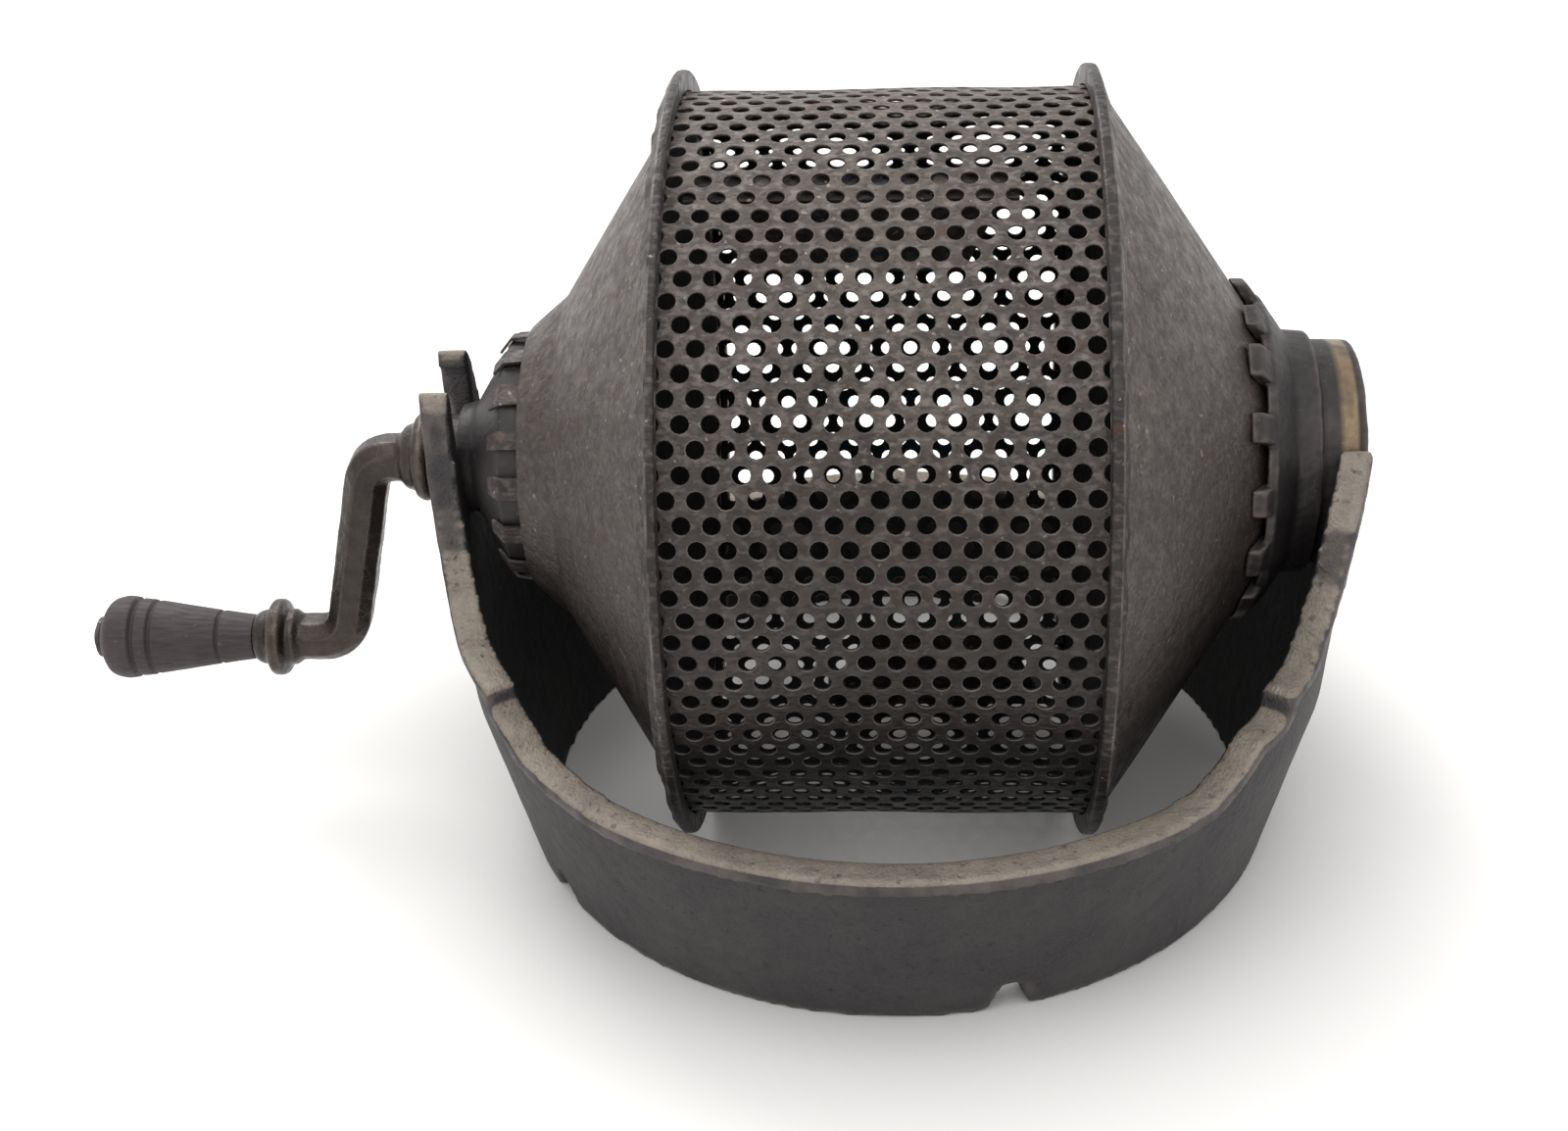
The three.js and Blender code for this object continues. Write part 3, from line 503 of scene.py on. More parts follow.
def turned_casting(name, bearing=None):
    """Grey iron cast, then turned on a lathe: smoother and darker than the stand, with fine
    rings from the tool and small pale nicks. Between the two places along X that bearing gives,
    it is polished to a straw-coloured band."""
    material, tree = new_material(name)
    places = put(tree, "TexCoord").outputs["Object"]
    along = put(tree, "SeparateXYZ", {0: places}).outputs["X"]
    rings = put(tree, "TexNoise", {
        "Vector": put(tree, "CombineXYZ", {0: along}).outputs[0], "Scale": per(0.8), "Detail": 2.0,
    }).outputs["Fac"]
    patches = blotches(tree, places, 12, 0.36, 0.64)
    mottling = blotches(tree, places, 3, 0.38, 0.7, 5)
    nicks = blotches(tree, places, 1.4, 0.73, 0.77, 2)
    tone = painted(tree, colour("#332f2f"), (patches, 1, "#474140"), (mottling, 0.5, "#211f20"))
    rough = 0.5
    if bearing:
        start, end = bearing
        rise = put(tree, "MapRange", {
            "Value": along, "From Min": (start - 1) * MM, "From Max": (start + 1) * MM,
        }).outputs[0]
        fall = put(tree, "MapRange", {
            "Value": along, "From Min": end * MM, "From Max": (end - 1) * MM,
        }).outputs[0]
        band = put(tree, "Math", {0: rise, 1: fall}, operation="MULTIPLY").outputs[0]
        band = put(tree, "Math", {
            0: band, 1: blotches(tree, places, 12, 0.25, 0.5),
        }, operation="MULTIPLY").outputs[0]
        tone = painted(tree, tone, (band, 0.8, "#9c8567"))
        rough = put(tree, "MapRange", {"Value": band, "To Min": rough, "To Max": 0.34}).outputs[0]
    tone = painted(
        tree, tone,
        # Paler edges: rubbed wear and a painted highlight.
        (stored_wear_soot_and_light(tree, 0.3, 0.9), 0.45, "#7a706a"), (nicks, 0.5, "#a89f98"),
        # Near black insides: soot and painted shade.
        (stored_wear_soot_and_light(tree, -0.1, -0.9), 0.8, "#171414"),
    )
    surface(tree, {
        "Base Color": tone, "Metallic": 0.4, "Roughness": rough,
        "Normal": relief(tree, (mottling, 0.1), (rings, 0.02)),
    })
    return material


def handled_iron(name):
    """Cast iron burnished by hands and heat: a brown-black skin with a low shine, painted paler
    brown on its edges for rubbed wear and a painted highlight."""
    material, tree = new_material(name)
    places = put(tree, "TexCoord").outputs["Object"]
    patches = blotches(tree, places, 14, 0.36, 0.66)
    mottling = blotches(tree, places, 3.2, 0.36, 0.7, 5)
    grain = blotches(tree, places, 0.6, 0.32, 0.72, 2)
    tone = painted(
        tree, colour("#2c2623"),
        (patches, 1, "#403833"), (mottling, 0.5, "#1d1918"), (grain, 0.2, "#655a54"),
        # Paler edges: rubbed wear and a painted highlight.
        (stored_wear_soot_and_light(tree, 0.25, 0.9), 0.6, "#85776d"),
    )
    rough = put(tree, "MapRange", {"Value": mottling, "To Min": 0.26, "To Max": 0.42}).outputs[0]
    surface(tree, {
        "Base Color": tone, "Metallic": 0.5, "Roughness": rough,
        "Normal": relief(tree, (mottling, 0.16), (grain, 0.06)),
    })
    return material


def dark_steel(name):
    """Mild steel fastenings, wrought and heat-blackened, with a fine grey grain."""
    material, tree = new_material(name)
    places = put(tree, "TexCoord").outputs["Object"]
    mottling = blotches(tree, places, 1.8, 0.36, 0.7, 5)
    grain = blotches(tree, places, 0.5, 0.35, 0.7, 2)
    tone = painted(tree, colour("#4a4542"), (mottling, 1, "#2b2827"), (grain, 0.35, "#7d7672"))
    rough = put(tree, "MapRange", {"Value": mottling, "To Min": 0.38, "To Max": 0.58}).outputs[0]
    surface(tree, {
        "Base Color": tone, "Metallic": 0.7, "Roughness": rough,
        "Normal": relief(tree, (mottling, 0.06)),
    })
    return material


def blackened_wood(name):
    """Hardwood turned on a lathe and darkened by heat and hands: matt purple-brown, with the
    grain running along the grip as fine dark lines and a few pale scuffs."""
    material, tree = new_material(name)
    places = put(tree, "TexCoord").outputs["Object"]
    stretched = put(tree, "VectorMath", {0: places, 1: (0.06, 1, 1)}, operation="MULTIPLY").outputs[0]
    fibres = blotches(tree, stretched, 0.9, 0.35, 0.68, 4)
    streaks = blotches(tree, stretched, 4, 0.4, 0.65, 3)
    patches = blotches(tree, places, 12, 0.38, 0.64)
    scuffs = blotches(tree, places, 3, 0.66, 0.72, 4)
    tone = painted(
        tree, colour("#443b3c"),
        (patches, 1, "#52494a"), (streaks, 0.2, "#3f3637"), (fibres, 0.15, "#382f30"),
        (scuffs, 0.3, "#857b7b"),
    )
    rough = put(tree, "MapRange", {"Value": fibres, "To Min": 0.55, "To Max": 0.75}).outputs[0]
    surface(tree, {
        "Base Color": tone, "Metallic": 0.0, "Roughness": rough,
        "Normal": relief(tree, (fibres, 0.05), (scuffs, -0.08)),
    })
    return material


def seen_directly(tree):
    """1 for what the camera, metal or glass sees, 0 for the light that a matt surface gathers."""
    path = put(tree, "LightPath").outputs
    seen = path["Is Camera Ray"]
    for other in ("Is Glossy Ray", "Is Transmission Ray"):
        seen = put(tree, "Math", {0: seen, 1: path[other]}, operation="MAXIMUM").outputs[0]
    return seen


def studio_floor():
    """Matt pale paper, lifted to white for the camera wherever it lies open to the room."""
    material, tree = new_material("paper_floor")
    paper = put(tree, "BsdfDiffuse", {"Color": colour("#cfcdca")}).outputs[0]
    open_share = put(tree, "AmbientOcclusion", {"Distance": 90 * MM}, samples=12).outputs["AO"]
    lift = put(tree, "Math", {0: open_share, 1: 1.6}, operation="POWER").outputs[0]
    strength = put(tree, "Math", {0: lift, 1: 0.79}, operation="MULTIPLY").outputs[0]
    haze = put(tree, "Emission", {"Color": colour("#fffdfb"), "Strength": strength}).outputs[0]
    pale = put(tree, "AddShader", {0: paper, 1: haze}).outputs[0]
    both = put(tree, "MixShader", {0: seen_directly(tree), 1: paper, 2: pale}).outputs[0]
    put(tree, "OutputMaterial", {"Surface": both})
    return material


DRUM_SHEET = browned_sheet(
    "heat_browned_perforated_sheet", ("#574d48", "#6b6058", "#2f2825"), soot_and_shade=(40, 250),
)
CONE_SHEET = browned_sheet(
    "heat_browned_spun_sheet", ("#524844", "#645954", "#39312e"),
    soot_and_shade=(-10, 225), polish=0.42, specks=0.25,
)
# Its crest carries a pale line, a painted highlight.
SEAM_SHEET = browned_sheet(
    "seam_sheet_painted_crest_highlight", ("#2a2523", "#38312e", "#201c1b"),
    soot_and_shade=(-60, 60), polish=0.42, specks=0.25,
)
TAB_SHEET = browned_sheet(
    "sooty_folded_sheet", ("#403836", "#544b48", "#292322"),
    soot_and_shade=(-60, 40), polish=0.5, specks=0.3,
)
# Dark sheet for the parts inside the drum: soot from roasting and painted shade.
INNER_SHEET = browned_sheet(
    "inner_soot_and_shade_sheet", ("#2c2624", "#3a3330", "#1d1918"), polish=0.5, specks=0.2,
)
STAND_IRON = sand_cast_iron("sand_cast_iron")
HUB_IRON = turned_casting("turned_hub_iron")
NECK_IRON = turned_casting("turned_neck_iron", bearing=(192.5, 197.5))
CRANK_IRON = handled_iron("hand_burnished_iron")
STEEL = dark_steel("blackened_mild_steel")
WOOD = blackened_wood("blackened_turned_hardwood")


# Drum shell

def dent(x, degrees, size, depth):
    """How far a thin sheet is pushed in or out at a place on the drum."""
    angle = math.radians(degrees)
    place = Vector((x, SEAM_RADIUS * math.cos(angle), SEAM_RADIUS * math.sin(angle)))
    return depth * noise.noise(place / size)


def drum_shell():
    """The punched sheet, cell by cell: each cell is the part of the sheet nearest to one hole."""
    row_spacing = 2 * math.pi * DRUM_RADIUS / PATTERN_ROWS
    half = HOLE_PITCH / 2
    peak = row_spacing / 2 + HOLE_PITCH ** 2 / (8 * row_spacing)
    side = row_spacing - peak
    corners = [(half, side), (0, peak), (-half, side), (-half, -side), (0, -peak), (half, -side)]
    border = []
    for i, (x, y) in enumerate(corners):
        last_x, last_y = corners[i - 1]
        border += [((x + last_x) / 2, (y + last_y) / 2), (x, y)]
    circle = [(math.cos(k * math.pi / 6), math.sin(k * math.pi / 6)) for k in range(12)]
    # From the outside in: an outline, its size, its depth in the sheet, and its mark: 1 on the
    # rim, painted pale for rubbed wear and a painted highlight, and -1 at the bore's far end and on
    # the underside, painted near black for soot and painted shade
    levels = [
        (border, 1, 0, 0.0),
        (circle, HOLE_RADIUS + HOLE_EASE, 0, 1.0),
        (circle, HOLE_RADIUS, 0.2, 1.0),
        (circle, HOLE_RADIUS, SHEET, -1.0),
        (border, 1, SHEET, -1.0),
    ]
    half_length = (MOUTH_EDGE - CRANK_EDGE) / 2 + SHEET_PAST_EDGE
    points, faces, wear_soot_and_painted_light = [], [], []
    for row in range(PATTERN_ROWS):
        row_angle = PATTERN_ANGLE + row * 360 / PATTERN_ROWS
        for hole in range(-HOLES_EACH_WAY, HOLES_EACH_WAY + 1):
            middle = HOLE_SHIFT + (hole + row % 2 / 2) * HOLE_PITCH
            if abs(middle) > half_length + half:
                continue
            start = len(points)
            for outline, scale, depth, level_wear_and_light in levels:
                for x, y in outline:
                    place = DRUM_MIDDLE + middle + x * scale
                    degrees = row_angle + math.degrees(y * scale / DRUM_RADIUS)
                    bend = dent(place, degrees, 34, 0.5) + dent(place, degrees, 11, 0.16)
                    points.append(around(place, DRUM_RADIUS - depth + bend, degrees))
                    wear_soot_and_painted_light.append(level_wear_and_light)
            for level in range(len(levels) - 1):
                near, far = start + 12 * level, start + 12 * (level + 1)
                for k in range(12):
                    on = (k + 1) % 12
                    faces.append((near + k, near + on, far + on, far + k))
    mesh = bpy.data.meshes.new("drum_sheet")
    mesh.from_pydata([tuple(point * MM) for point in points], [], faces)
    mark = mesh.attributes.new("wear_soot_and_painted_light", "FLOAT", "POINT")
    mark.data.foreach_set("value", wear_soot_and_painted_light)
    shape = bmesh.new()
    shape.from_mesh(mesh)
    bmesh.ops.remove_doubles(shape, verts=shape.verts, dist=0.01 * MM)
    for end in (-1, 1):
        everything = shape.verts[:] + shape.edges[:] + shape.faces[:]
        bmesh.ops.bisect_plane(
            shape, geom=everything, clear_outer=True,
            plane_co=((DRUM_MIDDLE + end * half_length) * MM, 0, 0), plane_no=(end, 0, 0),
        )
    bmesh.ops.recalc_face_normals(shape, faces=shape.faces)
    shape.to_mesh(mesh)
    shape.free()
    piece = bpy.data.objects.new("drum_sheet", mesh)
    scene.collection.objects.link(piece)
    finished(piece, "drum", DRUM_SHEET, ["drum_shell"])


# Folded seams and coned ends

def outward(end, distance):
    """Place along X of a point that lies outward from one end of the drum."""
    return MOUTH_EDGE + distance if end == "mouth" else CRANK_EDGE - distance


def seam_ring(end, crest, flank):
    """The folded seam: an upright wall, a crest, and a slanting flank that ends in a ragged lip."""
    lip = SEAM_RADIUS - 4.7
    profile = rounded([
        (0.1, DRUM_RADIUS + 0.5, 0.1), (0, SEAM_RADIUS, 0.9), (crest, SEAM_RADIUS, 0.9),
        (flank, lip, 0.25), (flank - 0.8, lip - 0.3, 0.2), (crest - 0.5, SEAM_RADIUS - 1, 0.3),
        (1, SEAM_RADIUS - 1, 0.3), (1, DRUM_RADIUS + 0.5, 0.1),
    ])
    profile = divided(profile, 1.2)

    def worked(distance, radius, degrees):
        radius += dent(distance, degrees, 30, 0.25) + dent(distance, degrees, 5, 0.1)
        lip_share = 0
        if radius < SEAM_RADIUS - 0.5:
            lip_share = max(0, (distance - crest) / (flank - crest))
        # Read at places off the drum, so that the ragged lip has unevenness of its own
        radius += lip_share * (dent(40, degrees, 9, 1.4) + dent(80, degrees, 3.5, 0.8))
        distance += lip_share * (dent(160, degrees, 12, 0.9) - 0.2)
        return outward(end, distance), radius

    piece = made(f"{end}_end_seam", turned(profile, 480, change=worked))
    # The corner line along the crest is marked to be painted pale, as a painted highlight.
    places = read_points(piece.data) / MM
    from_corner = np.abs(np.abs(places[:, 0] - outward(end, 0)) - crest)
    on_crest = np.hypot(places[:, 1], places[:, 2] - AXIS) > SEAM_RADIUS - 0.9
    corner_line = np.clip((0.9 - from_corner) / 0.4, 0, 1) * on_crest
    wear_soot_and_painted_light = piece.data.attributes.new("wear_soot_and_painted_light", "FLOAT", "POINT")
    wear_soot_and_painted_light.data.foreach_set("value", corner_line.astype(np.float32))
    finished(piece, "drum", SEAM_SHEET, [f"{end}_end_seam_ring"], 50)


def cone_line(cone, radius):
    """Distance outward from the drum's edge to a cone's outside."""
    return cone["reach"] - (radius - CONE_SMALL_RADIUS) / cone["slope"]


def spun_cone(end, cone, small_end):
    """A sheet cone with a flange turned up into the seam; small_end is its path past the cone."""
    flange = SEAM_RADIUS - 1.6
    rim = CONE_SMALL_RADIUS + (cone["reach"] - 3.3) * cone["slope"]
    outside = [(2.4, flange, 0), (3.3, flange, 0), (3.3, rim, 2.2), *small_end]
    back = []
    for i in range(len(outside) - 1, 1, -1):
        x, radius, rounding = outside[i]
        here = Vector((x, radius))
        before = Vector(outside[i - 1][:2]) - here
        after = before if i == len(outside) - 1 else here - Vector(outside[i + 1][:2])
        along = (before.normalized() + after.normalized()).normalized()
        inward = Vector((-along.y, along.x))
        if i == 2:
            # Where the cone turns up into its flange
            inward = Vector((-1, -0.35))
        back.append((x + inward.x * SHEET, radius + inward.y * SHEET, rounding))
    profile = divided(rounded([*outside, *back]), 4)

    def worked(distance, radius, degrees):
        bend = dent(distance, degrees, 40, 0.7) + dent(distance, degrees, 13, 0.22)
        fade = min(1, max(0, (distance - 4) / 10))
        return outward(end, distance), radius + bend * fade

    return turned(profile, 240, change=worked)


def crank_end_cone():
    kink = CRANK_CONE["reach"]
    shell = spun_cone("crank", CRANK_CONE, [
        (kink, CONE_SMALL_RADIUS, 3), (49.6, 40.4, 1.2), (49.6, 17.5, 0),
    ])
    piece = made("crank_end_cone_sheet", shell)
    mark_inside(piece, (0, 0, AXIS), (1, 0, 0))
    finished(piece, "drum", CONE_SHEET, ["crank_end_cone"])
    tabs = made("crank_end_cone_tabs", *[folded_tab(k) for k in range(TAB_COUNT)])
    finished(tabs, "drum", TAB_SHEET)


def folded_tab(k):
    """One tab of the cone's sheet, bent up past the hub's rim and hammered down over it."""
    jitter = noise.noise(Vector((k * 3.7, 1.3, 0.4)))
    degrees = (k + 0.5) * 360 / TAB_COUNT + 3 * jitter
    width = TAB_WIDTH * (1 + 0.4 * noise.noise(Vector((k * 2.1, 7.7, 2.2))))
    lift = 0.9 * jitter
    path = rounded([
        (47.8, 41.4, 0), (49.9, 38.6, 1.2), (55.6, 38.2 + lift, 1.5), (59.4, 33.6 + lift, 0),
    ], closed=False)
    path = divided(path, 1.2, closed=False)
    angle = math.radians(degrees)
    sideways = Vector((0, math.sin(angle), math.cos(angle)))
    rings = []
    for i, (x, radius) in enumerate(path):
        ahead, behind = path[min(i + 1, len(path) - 1)], path[max(i - 1, 0)]
        along = Vector((ahead[0] - behind[0], ahead[1] - behind[1])).normalized()
        narrowing = 1 - 0.25 * max(0, i / (len(path) - 1) - 0.8) / 0.2
        ring = []
        for side, depth in ((-1, 0), (1, 0), (1, SHEET), (-1, SHEET)):
            place = around(outward("crank", x + along.y * depth), radius - along.x * depth, degrees)
            ring.append(place + sideways * side * narrowing * width / 2)
        rings.append(ring)
    return tube(rings)


def mouth_end_cone():
    tip = cone_line(MOUTH_CONE, 33)
    shell = spun_cone("mouth", MOUTH_CONE, [(tip, 33, 0)])
    piece = made("mouth_end_cone_sheet", shell)
    mark_inside(piece, (0, 0, AXIS), (1, 0, 0))
    finished(piece, "drum", CONE_SHEET, ["mouth_end_cone"])


# Castings on the small ends

def hub():
    """Cast hub: a smooth cone seated on the sheet, and the journal that runs in the fork."""
    journal_end = CRANK_EDGE - span("crank_end_hub")[0].x
    nose_end = journal_end - 10.2

    def top(radius):
        return cone_line(CRANK_CONE, radius) + 9.6

    profile = rounded([
        (48.4, 5.8, 0), (48.4, 16.7, 0.5), (49.9, 16.7, 0), (49.9, 36.4, 0.5),
        (top(36.4) - 0.6, 36.4, 1.2), (top(17.5) - 1, 17.5, 3), (nose_end, 16.3, 1.2),
        (nose_end, 13.3, 0.6), (journal_end, 13.3, 0.6), (journal_end, 5.8, 0),
    ])
    profile = divided(profile, 3)

    def worked(distance, radius, degrees):
        return outward("crank", distance), radius + dent(distance, degrees, 12, 0.12)

    piece = made("hub_casting", turned(profile, 120, change=worked))
    finished(piece, "drum", HUB_IRON, ["crank_end_hub"])


def over_cone(radius, height):
    """Distance outward from the drum's edge to a place this high over the mouth's cone."""
    return cone_line(MOUTH_CONE, radius) + height


def lug(k):
    """One lug of the neck's crown. No two of these rough castings are quite alike."""
    jitter = noise.noise(Vector((k * 1.9, 3.1, 5.5)))
    degrees = (k + 0.5) * 360 / LUG_COUNT + 3 * jitter
    width = LUG_WIDTH * (1 + 0.3 * noise.noise(Vector((k * 2.7, 8.1, 1.5))))
    end = 51.6 + 1.2 * jitter
    outline = rounded([
        (over_cone(end, 0.3), end, 0.4), (over_cone(end, 4.6), end, 1.5),
        (over_cone(48.8, 4.9), 48.8, 1.0), (over_cone(43.4, 4.7), 43.4, 0),
        (over_cone(43.4, 0.3), 43.4, 0),
    ])
    angle = math.radians(degrees)
    sideways = Vector((0, math.sin(angle), math.cos(angle)))
    rings = []
    for across in (-width / 2, width / 2):
        ring = [around(outward("mouth", x), radius, degrees) for x, radius in outline]
        rings.append([place + sideways * across for place in ring])
    return tube(rings)


def neck():
    """Cast neck: a crown of lugs on the cone, a collar, and the mouth that runs in the cradle."""
    collar_foot = over_cone(38, 5.7)
    collar_end = collar_foot + 8.2
    mouth = span("neck_casting")[1].x - MOUTH_EDGE
    inside = cone_line(MOUTH_CONE, 36.2) - 1.4
    profile = rounded([
        (inside - 1.6, 29, 0.8), (inside - 1.2, 36.2, 0.6), (inside, 36.2, 0.3),
        (inside + 2.2, 32.7, 0), (over_cone(32.7, 2.4), 32.7, 0), (over_cone(47.4, 2.4), 47.4, 0.4),
        (over_cone(47.4, 5.7), 47.4, 1.4), (collar_foot, 38, 1.6), (collar_foot + 0.9, 36.8, 0.5),
        (collar_end, 36.5, 1.3), (collar_end + 0.5, 33.9, 0.8), (mouth - 1.2, 33.5, 1.8),
        (mouth, 31.2, 0.9), (mouth, 29, 0.8),
    ])

    def worked(distance, radius, degrees):
        return outward("mouth", distance), radius

    body = turned(divided(profile, 4), 144, change=worked)
    piece = made("neck_casting_iron", body, *[lug(k) for k in range(LUG_COUNT)])
    cast(piece, 0.6, 3)
    uneven(piece, (9, 0.25), (2.5, 0.14))
    mark_edges(piece, 8, 0.35)
    mark_inside(piece, (0, 0, AXIS), (1, 0, 0))
    finished(piece, "drum", NECK_IRON, ["neck_casting"], 80)


def vane_rivets():
    """Rivets that hold the stirring vanes: each fills one hole of the pattern, a little sunk."""
    for node in [name for name in frame["nodes"] if "_rivet_" in name]:
        low, high = span(node)
        row = VANE_ROWS[node.split("_rivet_")[0]]
        degrees = PATTERN_ANGLE + row * 360 / PATTERN_ROWS
        angle = math.radians(degrees)
        out = Vector((0, -math.cos(angle), math.sin(angle)))
        across = Vector((0, math.sin(angle), math.cos(angle)))
        middle = (low.x + high.x) / 2
        profile = rounded([
            (0, -0.8, 0), (2.2, -0.9, 0.3), (2.4, -1.2, 0.2), (2.4, -2.6, 0),
            (3.8, -2.7, 0.3), (3.2, -3.6, 0.5), (0, -4, 0),
        ])
        rings = []
        for k in range(32):
            spin = k * math.pi / 16
            spoke = Vector((math.cos(spin), 0, 0)) + across * math.sin(spin)
            centre = Vector((middle, 0, AXIS)) + out * DRUM_RADIUS
            rings.append([centre + out * height + spoke * radius for radius, height in profile])
        piece = made(node + "_head", tube(rings, closed=True))
        # The heads take the dark inner sheet, painted shade that makes them look like the open holes.
        finished(piece, "drum", INNER_SHEET, [node], 50)


# Ring stand

def wall_radius(height):
    heights = [0, KNEE_HEIGHT, AXIS]
    return float(np.interp(height, heights, [FOOT_RADIUS, KNEE_RADIUS, UPRIGHT_RADIUS]))


def inner_radius(height):
    walls = [FOOT_WALL, LIP_WALL, UPRIGHT_WALL]
    thickness = np.interp(height, [0, LIP_HEIGHT, AXIS], walls)
    return wall_radius(height) - float(thickness)


def stand_point(degrees, radius, height):
    """A point of the stand, degrees round from the front towards the mouth. Near the bearings
    the columns stand side by side along X, so that a slot's two walls are parallel."""
    mouth_side = math.sin(math.radians(degrees)) > 0
    away = degrees - 90 if mouth_side else degrees + 90
    away = (away + 180) % 360 - 180
    parallel = float(np.interp(abs(away), [17, 28], [1, 0]))
    reach = parallel * BEARING_RADIUS + (1 - parallel) * radius
    across = math.sin(math.radians(away)) * reach
    along = math.sqrt(radius ** 2 - across ** 2)
    if mouth_side:
        return Vector((STAND_X + along, across, height))
    return Vector((STAND_X - along, -across, height))


def slot_angle(half_width):
    return math.degrees(math.asin(half_width / BEARING_RADIUS))


def stand_edge(at_back):
    """The edge on one side, from the fork's slot to the cradle's: (length along it, height)."""
    fork, cradle = slot_angle(FORK_SLOT), slot_angle(CRADLE_SLOT)
    stops = [(-90 + fork, FORK_EDGE[0][1])]
    stops += [(-90 + away, height) for away, height in FORK_EDGE]
    stops += [(90 - away, height) for away, height in reversed(CRADLE_EDGE)]
    stops += [(90 - cradle, CRADLE_EDGE[0][1])]
    if at_back:
        along_back = divided(stops, 1, closed=False)
        stops = [(angle, min(height, back_height(angle))) for angle, height in along_back]
    unrolled = [(math.radians(angle) * UPRIGHT_RADIUS, height, 1.2) for angle, height in stops]
    return divided(rounded(unrolled, closed=False), 1.7, closed=False)


def back_height(angle):
    """How high the edge comes behind the drum, this many degrees from the back."""
    return float(np.interp(abs(angle), *zip(*BACK_EDGE)))


def edge_offset(path, depth):
    """The unrolled path moved into the wall by a depth."""
    moved = []
    for i, (along, height) in enumerate(path):
        ahead, behind = path[min(i + 1, len(path) - 1)], path[max(i - 1, 0)]
        run = Vector((ahead[0] - behind[0], ahead[1] - behind[1])).normalized()
        moved.append((along + run.y * depth, height - run.x * depth))
    return moved


def foot_height(degrees):
    """The foot stands on the stove but for five notches with slanting sides."""
    for middle in NOTCH_ANGLES:
        away = abs((degrees - middle + 180) % 360 - 180)
        distance = math.radians(away) * FOOT_RADIUS
        if distance < NOTCH_FOOT_HALF:
            return float(np.interp(distance, [NOTCH_TOP_HALF, NOTCH_FOOT_HALF], [NOTCH_HEIGHT, 0]))
    return 0.0


def wall_column(degrees, top):
    """A section through the wall: up its outside and down its inside."""
    foot = foot_height(degrees)
    knee = min(top, KNEE_HEIGHT)
    heights = [foot + (knee - foot) * share for share in (0, 0.34, 0.67, 1)]
    heights += [knee + (top - knee) * share for share in (0.33, 0.67, 1)]
    outside = [stand_point(degrees, wall_radius(z), z) for z in heights]
    inside = [stand_point(degrees, inner_radius(z), z) for z in reversed(heights)]
    return outside + inside


def bearing_columns(middle, half_width):
    """Columns across a bearing slot with a half-round bottom."""
    columns = []
    for k in range(25):
        across = -half_width * math.cos(k * math.pi / 24)
        top = AXIS - math.sqrt(max(0, half_width ** 2 - across ** 2))
        away = math.degrees(math.asin(across / BEARING_RADIUS))
        columns.append((middle + away, top))
    return columns


def edge_columns(edge):
    """Where the wall's columns stand under one side's edge: (degrees, height)."""
    inner = edge_offset(edge, BEAD_DEPTH / 2)
    columns = [(math.degrees(along / UPRIGHT_RADIUS), height) for along, height in inner]
    columns[0] = (-90 + slot_angle(FORK_SLOT) + 0.02, columns[0][1])
    columns[-1] = (90 - slot_angle(CRADLE_SLOT) - 0.02, columns[-1][1])
    return columns


def wall(columns):
    """The wall through these columns, with more of them at the corners of the notches."""
    corners = []
    for middle in NOTCH_ANGLES:
        for distance in (-NOTCH_FOOT_HALF, -NOTCH_TOP_HALF, NOTCH_TOP_HALF, NOTCH_FOOT_HALF):
            corners.append((middle + math.degrees(distance / FOOT_RADIUS)) % 360)
    rings = []
    for i, (degrees, top) in enumerate(columns):
        rings.append(wall_column(degrees, top))
        following, next_top = columns[(i + 1) % len(columns)]
        for corner in corners:
            for turn in (corner, corner - 360):
                if degrees < turn < following:
                    share = (turn - degrees) / (following - degrees)
                    rings.append(wall_column(turn, top + (next_top - top) * share))
    return tube(rings, closed=True)


def thick_edge(edge, at_back):
    """The bead along one side's edge, which stands proud of the wall outside."""
    rings = []
    for upper, lower in zip(edge_offset(edge, 0), edge_offset(edge, BEAD_DEPTH)):
        corners = [(upper, False), (upper, True), (lower, True), (lower, False)]
        ring = []
        for (along, height), proud in corners:
            radius = wall_radius(height) + BEAD_PROUD if proud else inner_radius(height)
            degrees = math.degrees(along / UPRIGHT_RADIUS)
            ring.append(stand_point(180 - degrees if at_back else degrees, radius, height))
        rings.append(ring)
    return tube(rings)


def stand():
    """The ring, its two uprights with their bearings, and the bead along its edge."""
    front_edge, back_edge = stand_edge(at_back=False), stand_edge(at_back=True)
    columns = edge_columns(front_edge) + bearing_columns(90, CRADLE_SLOT)
    columns += [(180 - degrees, top) for degrees, top in reversed(edge_columns(back_edge))]
    columns += bearing_columns(270, FORK_SLOT)
    piece = made(
        "stand_casting", wall(columns), thick_edge(front_edge, False), thick_edge(back_edge, True),
    )
    cast(piece, 1.45, 3)
    uneven(piece, (24, 0.2), (5, 0.08))
    mark_edges(piece, 8, 0.6)
    mark_inside(piece, (STAND_X, 0, 0), (0, 0, 1))
    finished(piece, "stand", STAND_IRON, ["stand"], 80)


# Crank and grip

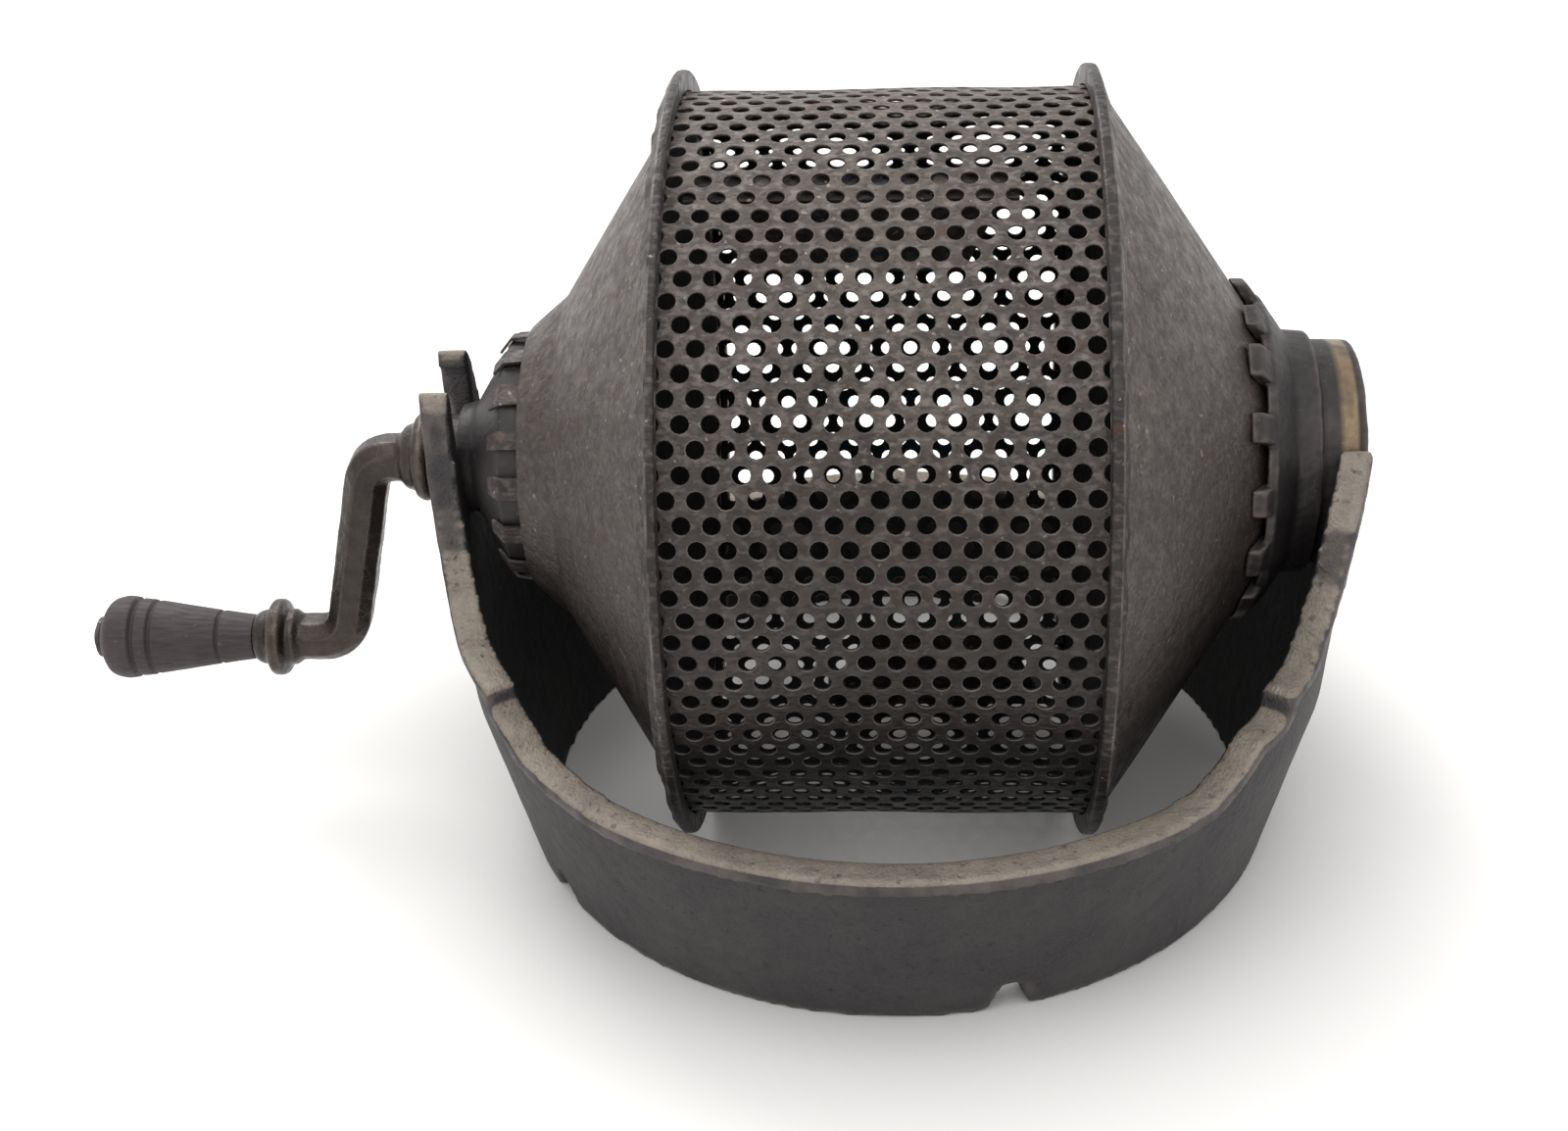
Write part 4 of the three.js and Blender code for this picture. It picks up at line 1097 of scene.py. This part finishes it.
def crank_arm():
    """The chamfered bar that steps down from the shank to the grip."""
    path = rounded([
        (CRANK_FACE - 4, AXIS, 0), (ARM_TOP, AXIS, ARM_BEND),
        (ARM_FOOT, GRIP_AXIS, ARM_BEND), (BEAD_X + 3, GRIP_AXIS, 0),
    ], closed=False, steps=10)
    path = divided(path, 3, closed=False)
    depth, width, chamfer = ARM_DEPTH / 2, ARM_WIDTH / 2, ARM_CHAMFER
    section = rounded([
        (depth - chamfer, -width, 1.4), (depth, chamfer - width, 1.4),
        (depth, width - chamfer, 1.4), (depth - chamfer, width, 1.4),
        (chamfer - depth, width, 1.4), (-depth, width - chamfer, 1.4),
        (-depth, chamfer - width, 1.4), (chamfer - depth, -width, 1.4),
    ], steps=3)
    rings = []
    for i, (x, z) in enumerate(path):
        ahead, behind = path[min(i + 1, len(path) - 1)], path[max(i - 1, 0)]
        run = Vector((ahead[0] - behind[0], ahead[1] - behind[1])).normalized()
        rings.append([Vector((x - run.y * out, side, z + run.x * out)) for out, side in section])
    return tube(rings)


def crank_collar():
    """The shank, and the flared collar that stops at the fork."""
    face = CRANK_FACE
    profile = rounded([
        (CRANK_TIP, 0, 0), (CRANK_TIP, 5.2, 0.5), (face, 5.5, 0), (face, 13.2, 0.8),
        (face - 2.2, 14, 1.6), (face - 4.4, 12.8, 1.0), (face - 5, 11, 0.8), (face - 8, 9.9, 1.2),
        (face - 10.5, 7, 0.8), (face - 10.5, 0, 0),
    ])
    return turned(divided(profile, 4), 72)


def crank_bead():
    """The round bead where the grip begins, bored for the grip's spindle."""
    grip_face = GRIP_START + 0.4
    bore = 3.4
    profile = rounded([
        (BEAD_X + 8, 0, 0), (BEAD_X + 8, 7.2, 0), (BEAD_X + 5.4, 9.3, 1.2),
        (BEAD_X + 3.2, 9.2, 0.7), (BEAD_X + 2, 12.6, 1.7), (BEAD_X - 2, 12.6, 1.7),
        (BEAD_X - 3.2, 9.2, 0.7), (BEAD_X - 5.8, 8.8, 1), (grip_face, 7.8, 0.6),
        (grip_face, bore, 0), (BEAD_X - 2, bore, 0), (BEAD_X - 2, 0, 0),
    ])
    return turned(divided(profile, 4), 72, GRIP_AXIS)


def crank():
    piece = made("crank_iron_arm", crank_arm(), crank_collar(), crank_bead())
    cast(piece, 0.55, 3)
    uneven(piece, (12, 0.3), (3, 0.08))
    mark_edges(piece, 8, 0.4)
    finished(piece, "drum", CRANK_IRON, ["crank"], 80)


def grip():
    """Turned grip, thin at the crank, with a bead between grooves at both ends of its taper."""
    def from_crank(distance, radius, easing=0.4):
        return GRIP_START - distance, radius, easing

    def from_end(distance, radius, easing=0.4):
        return GRIP_END + distance, radius, easing

    profile = rounded([
        from_crank(0, 3.4, 0), from_crank(0, 7.2, 0.5), from_crank(10.6, 8.7),
        from_crank(11.4, 7.9, 0.3), from_crank(12.2, 8.9), from_end(18.6, 12, 0.6),
        from_end(17.6, 11.1), from_end(16.6, 12.4, 0.5), from_end(13.2, 12.8, 0.5),
        from_end(12, 11.7), from_end(10.9, 13.3, 0.8), from_end(8, 13.7, 6),
        from_end(3.2, 12.6, 5), from_end(0, 7.2, 1.5), from_end(0, 3.4, 0),
    ])

    def worked(x, radius, degrees):
        """Leaves the bore true, and the outside a little dented and out of round."""
        if radius < 5:
            return x, radius
        return x, radius + dent(x, degrees, 9, 0.18) + 0.1 * math.cos(math.radians(2 * degrees))

    piece = made("grip_wood_turning", turned(divided(profile, 1), 120, GRIP_AXIS, worked))
    finished(piece, "grip", WOOD, ["grip"], 40)


# Nodes that keep their own shape

def carried_over():
    finishes = {
        "vane_1": INNER_SHEET, "vane_2": INNER_SHEET,
        "shank_washer": STEEL, "shank_nut": STEEL, "grip_spindle": STEEL, "grip_washer": STEEL,
    }
    for node, material in finishes.items():
        mesh = frame["nodes"][node].data
        mesh.materials.clear()
        mesh.materials.append(material)


# Studio

def floor():
    half = 3.0
    corners = [(-half, -half, 0), (half, -half, 0), (half, half, 0), (-half, half, 0)]
    mesh = bpy.data.meshes.new("floor")
    mesh.from_pydata(corners, [], [(0, 1, 2, 3)])
    sweep = bpy.data.objects.new("floor", mesh)
    scene.collection.objects.link(sweep)
    mesh.materials.append(studio_floor())


def studio_world():
    """Soft light from all round; the camera, metal and glass see plain white."""
    world = bpy.data.worlds.new("studio")
    scene.world = world
    world.use_nodes = True
    tree = world.node_tree
    tree.nodes.clear()
    soft = put(tree, "Background", {"Color": colour("#f4f5f7"), "Strength": 0.42})
    white = put(tree, "Background", {"Color": (1, 1, 1, 1), "Strength": 1.0})
    both = put(tree, "MixShader", {0: seen_directly(tree), 1: soft.outputs[0], 2: white.outputs[0]})
    put(tree, "OutputWorld", {"Surface": both.outputs[0]})


def lamp(name, place, aim, size, power):
    """A square soft lamp; place and aim are in metres."""
    light = bpy.data.lights.new(name, "AREA")
    light.size = size
    light.energy = power
    holder = bpy.data.objects.new(name, light)
    holder.location = place
    holder.rotation_euler = (Vector(place) - Vector(aim)).to_track_quat("Z", "Y").to_euler()
    scene.collection.objects.link(holder)


def camera():
    azimuth, elevation, roll = math.radians(3.94), math.radians(30.26), math.radians(-2.19)
    target = Vector((27.85, 0, 79.3)) * MM
    distance = 675.3 * MM
    toward = Vector((
        math.sin(azimuth) * math.cos(elevation),
        -math.cos(azimuth) * math.cos(elevation),
        math.sin(elevation),
    ))
    view = bpy.data.cameras.new("camera")
    view.sensor_width = 36
    view.lens = 48.82
    view.clip_start = 0.01
    holder = bpy.data.objects.new("camera", view)
    holder.location = target + toward * distance
    holder.rotation_mode = "QUATERNION"
    holder.rotation_quaternion = toward.to_track_quat("Z", "Y") @ Quaternion((0, 0, 1), roll)
    scene.collection.objects.link(holder)
    scene.camera = holder


scene.view_settings.view_transform = "Standard"
camera()
floor()
studio_world()
drum_place = (0.03, 0, 0.08)
lamp("back left lamp", (-0.44, 0.74, 0.98), drum_place, size=0.6, power=6.5)
lamp("overhead lamp", (-0.1, -0.55, 1.25), drum_place, size=1.3, power=7)

stand()
drum_shell()
seam_ring("crank", 2.6, 5.2)
seam_ring("mouth", 3.2, 5.0)
crank_end_cone()
mouth_end_cone()
hub()
neck()
vane_rivets()
crank()
grip()
carried_over()
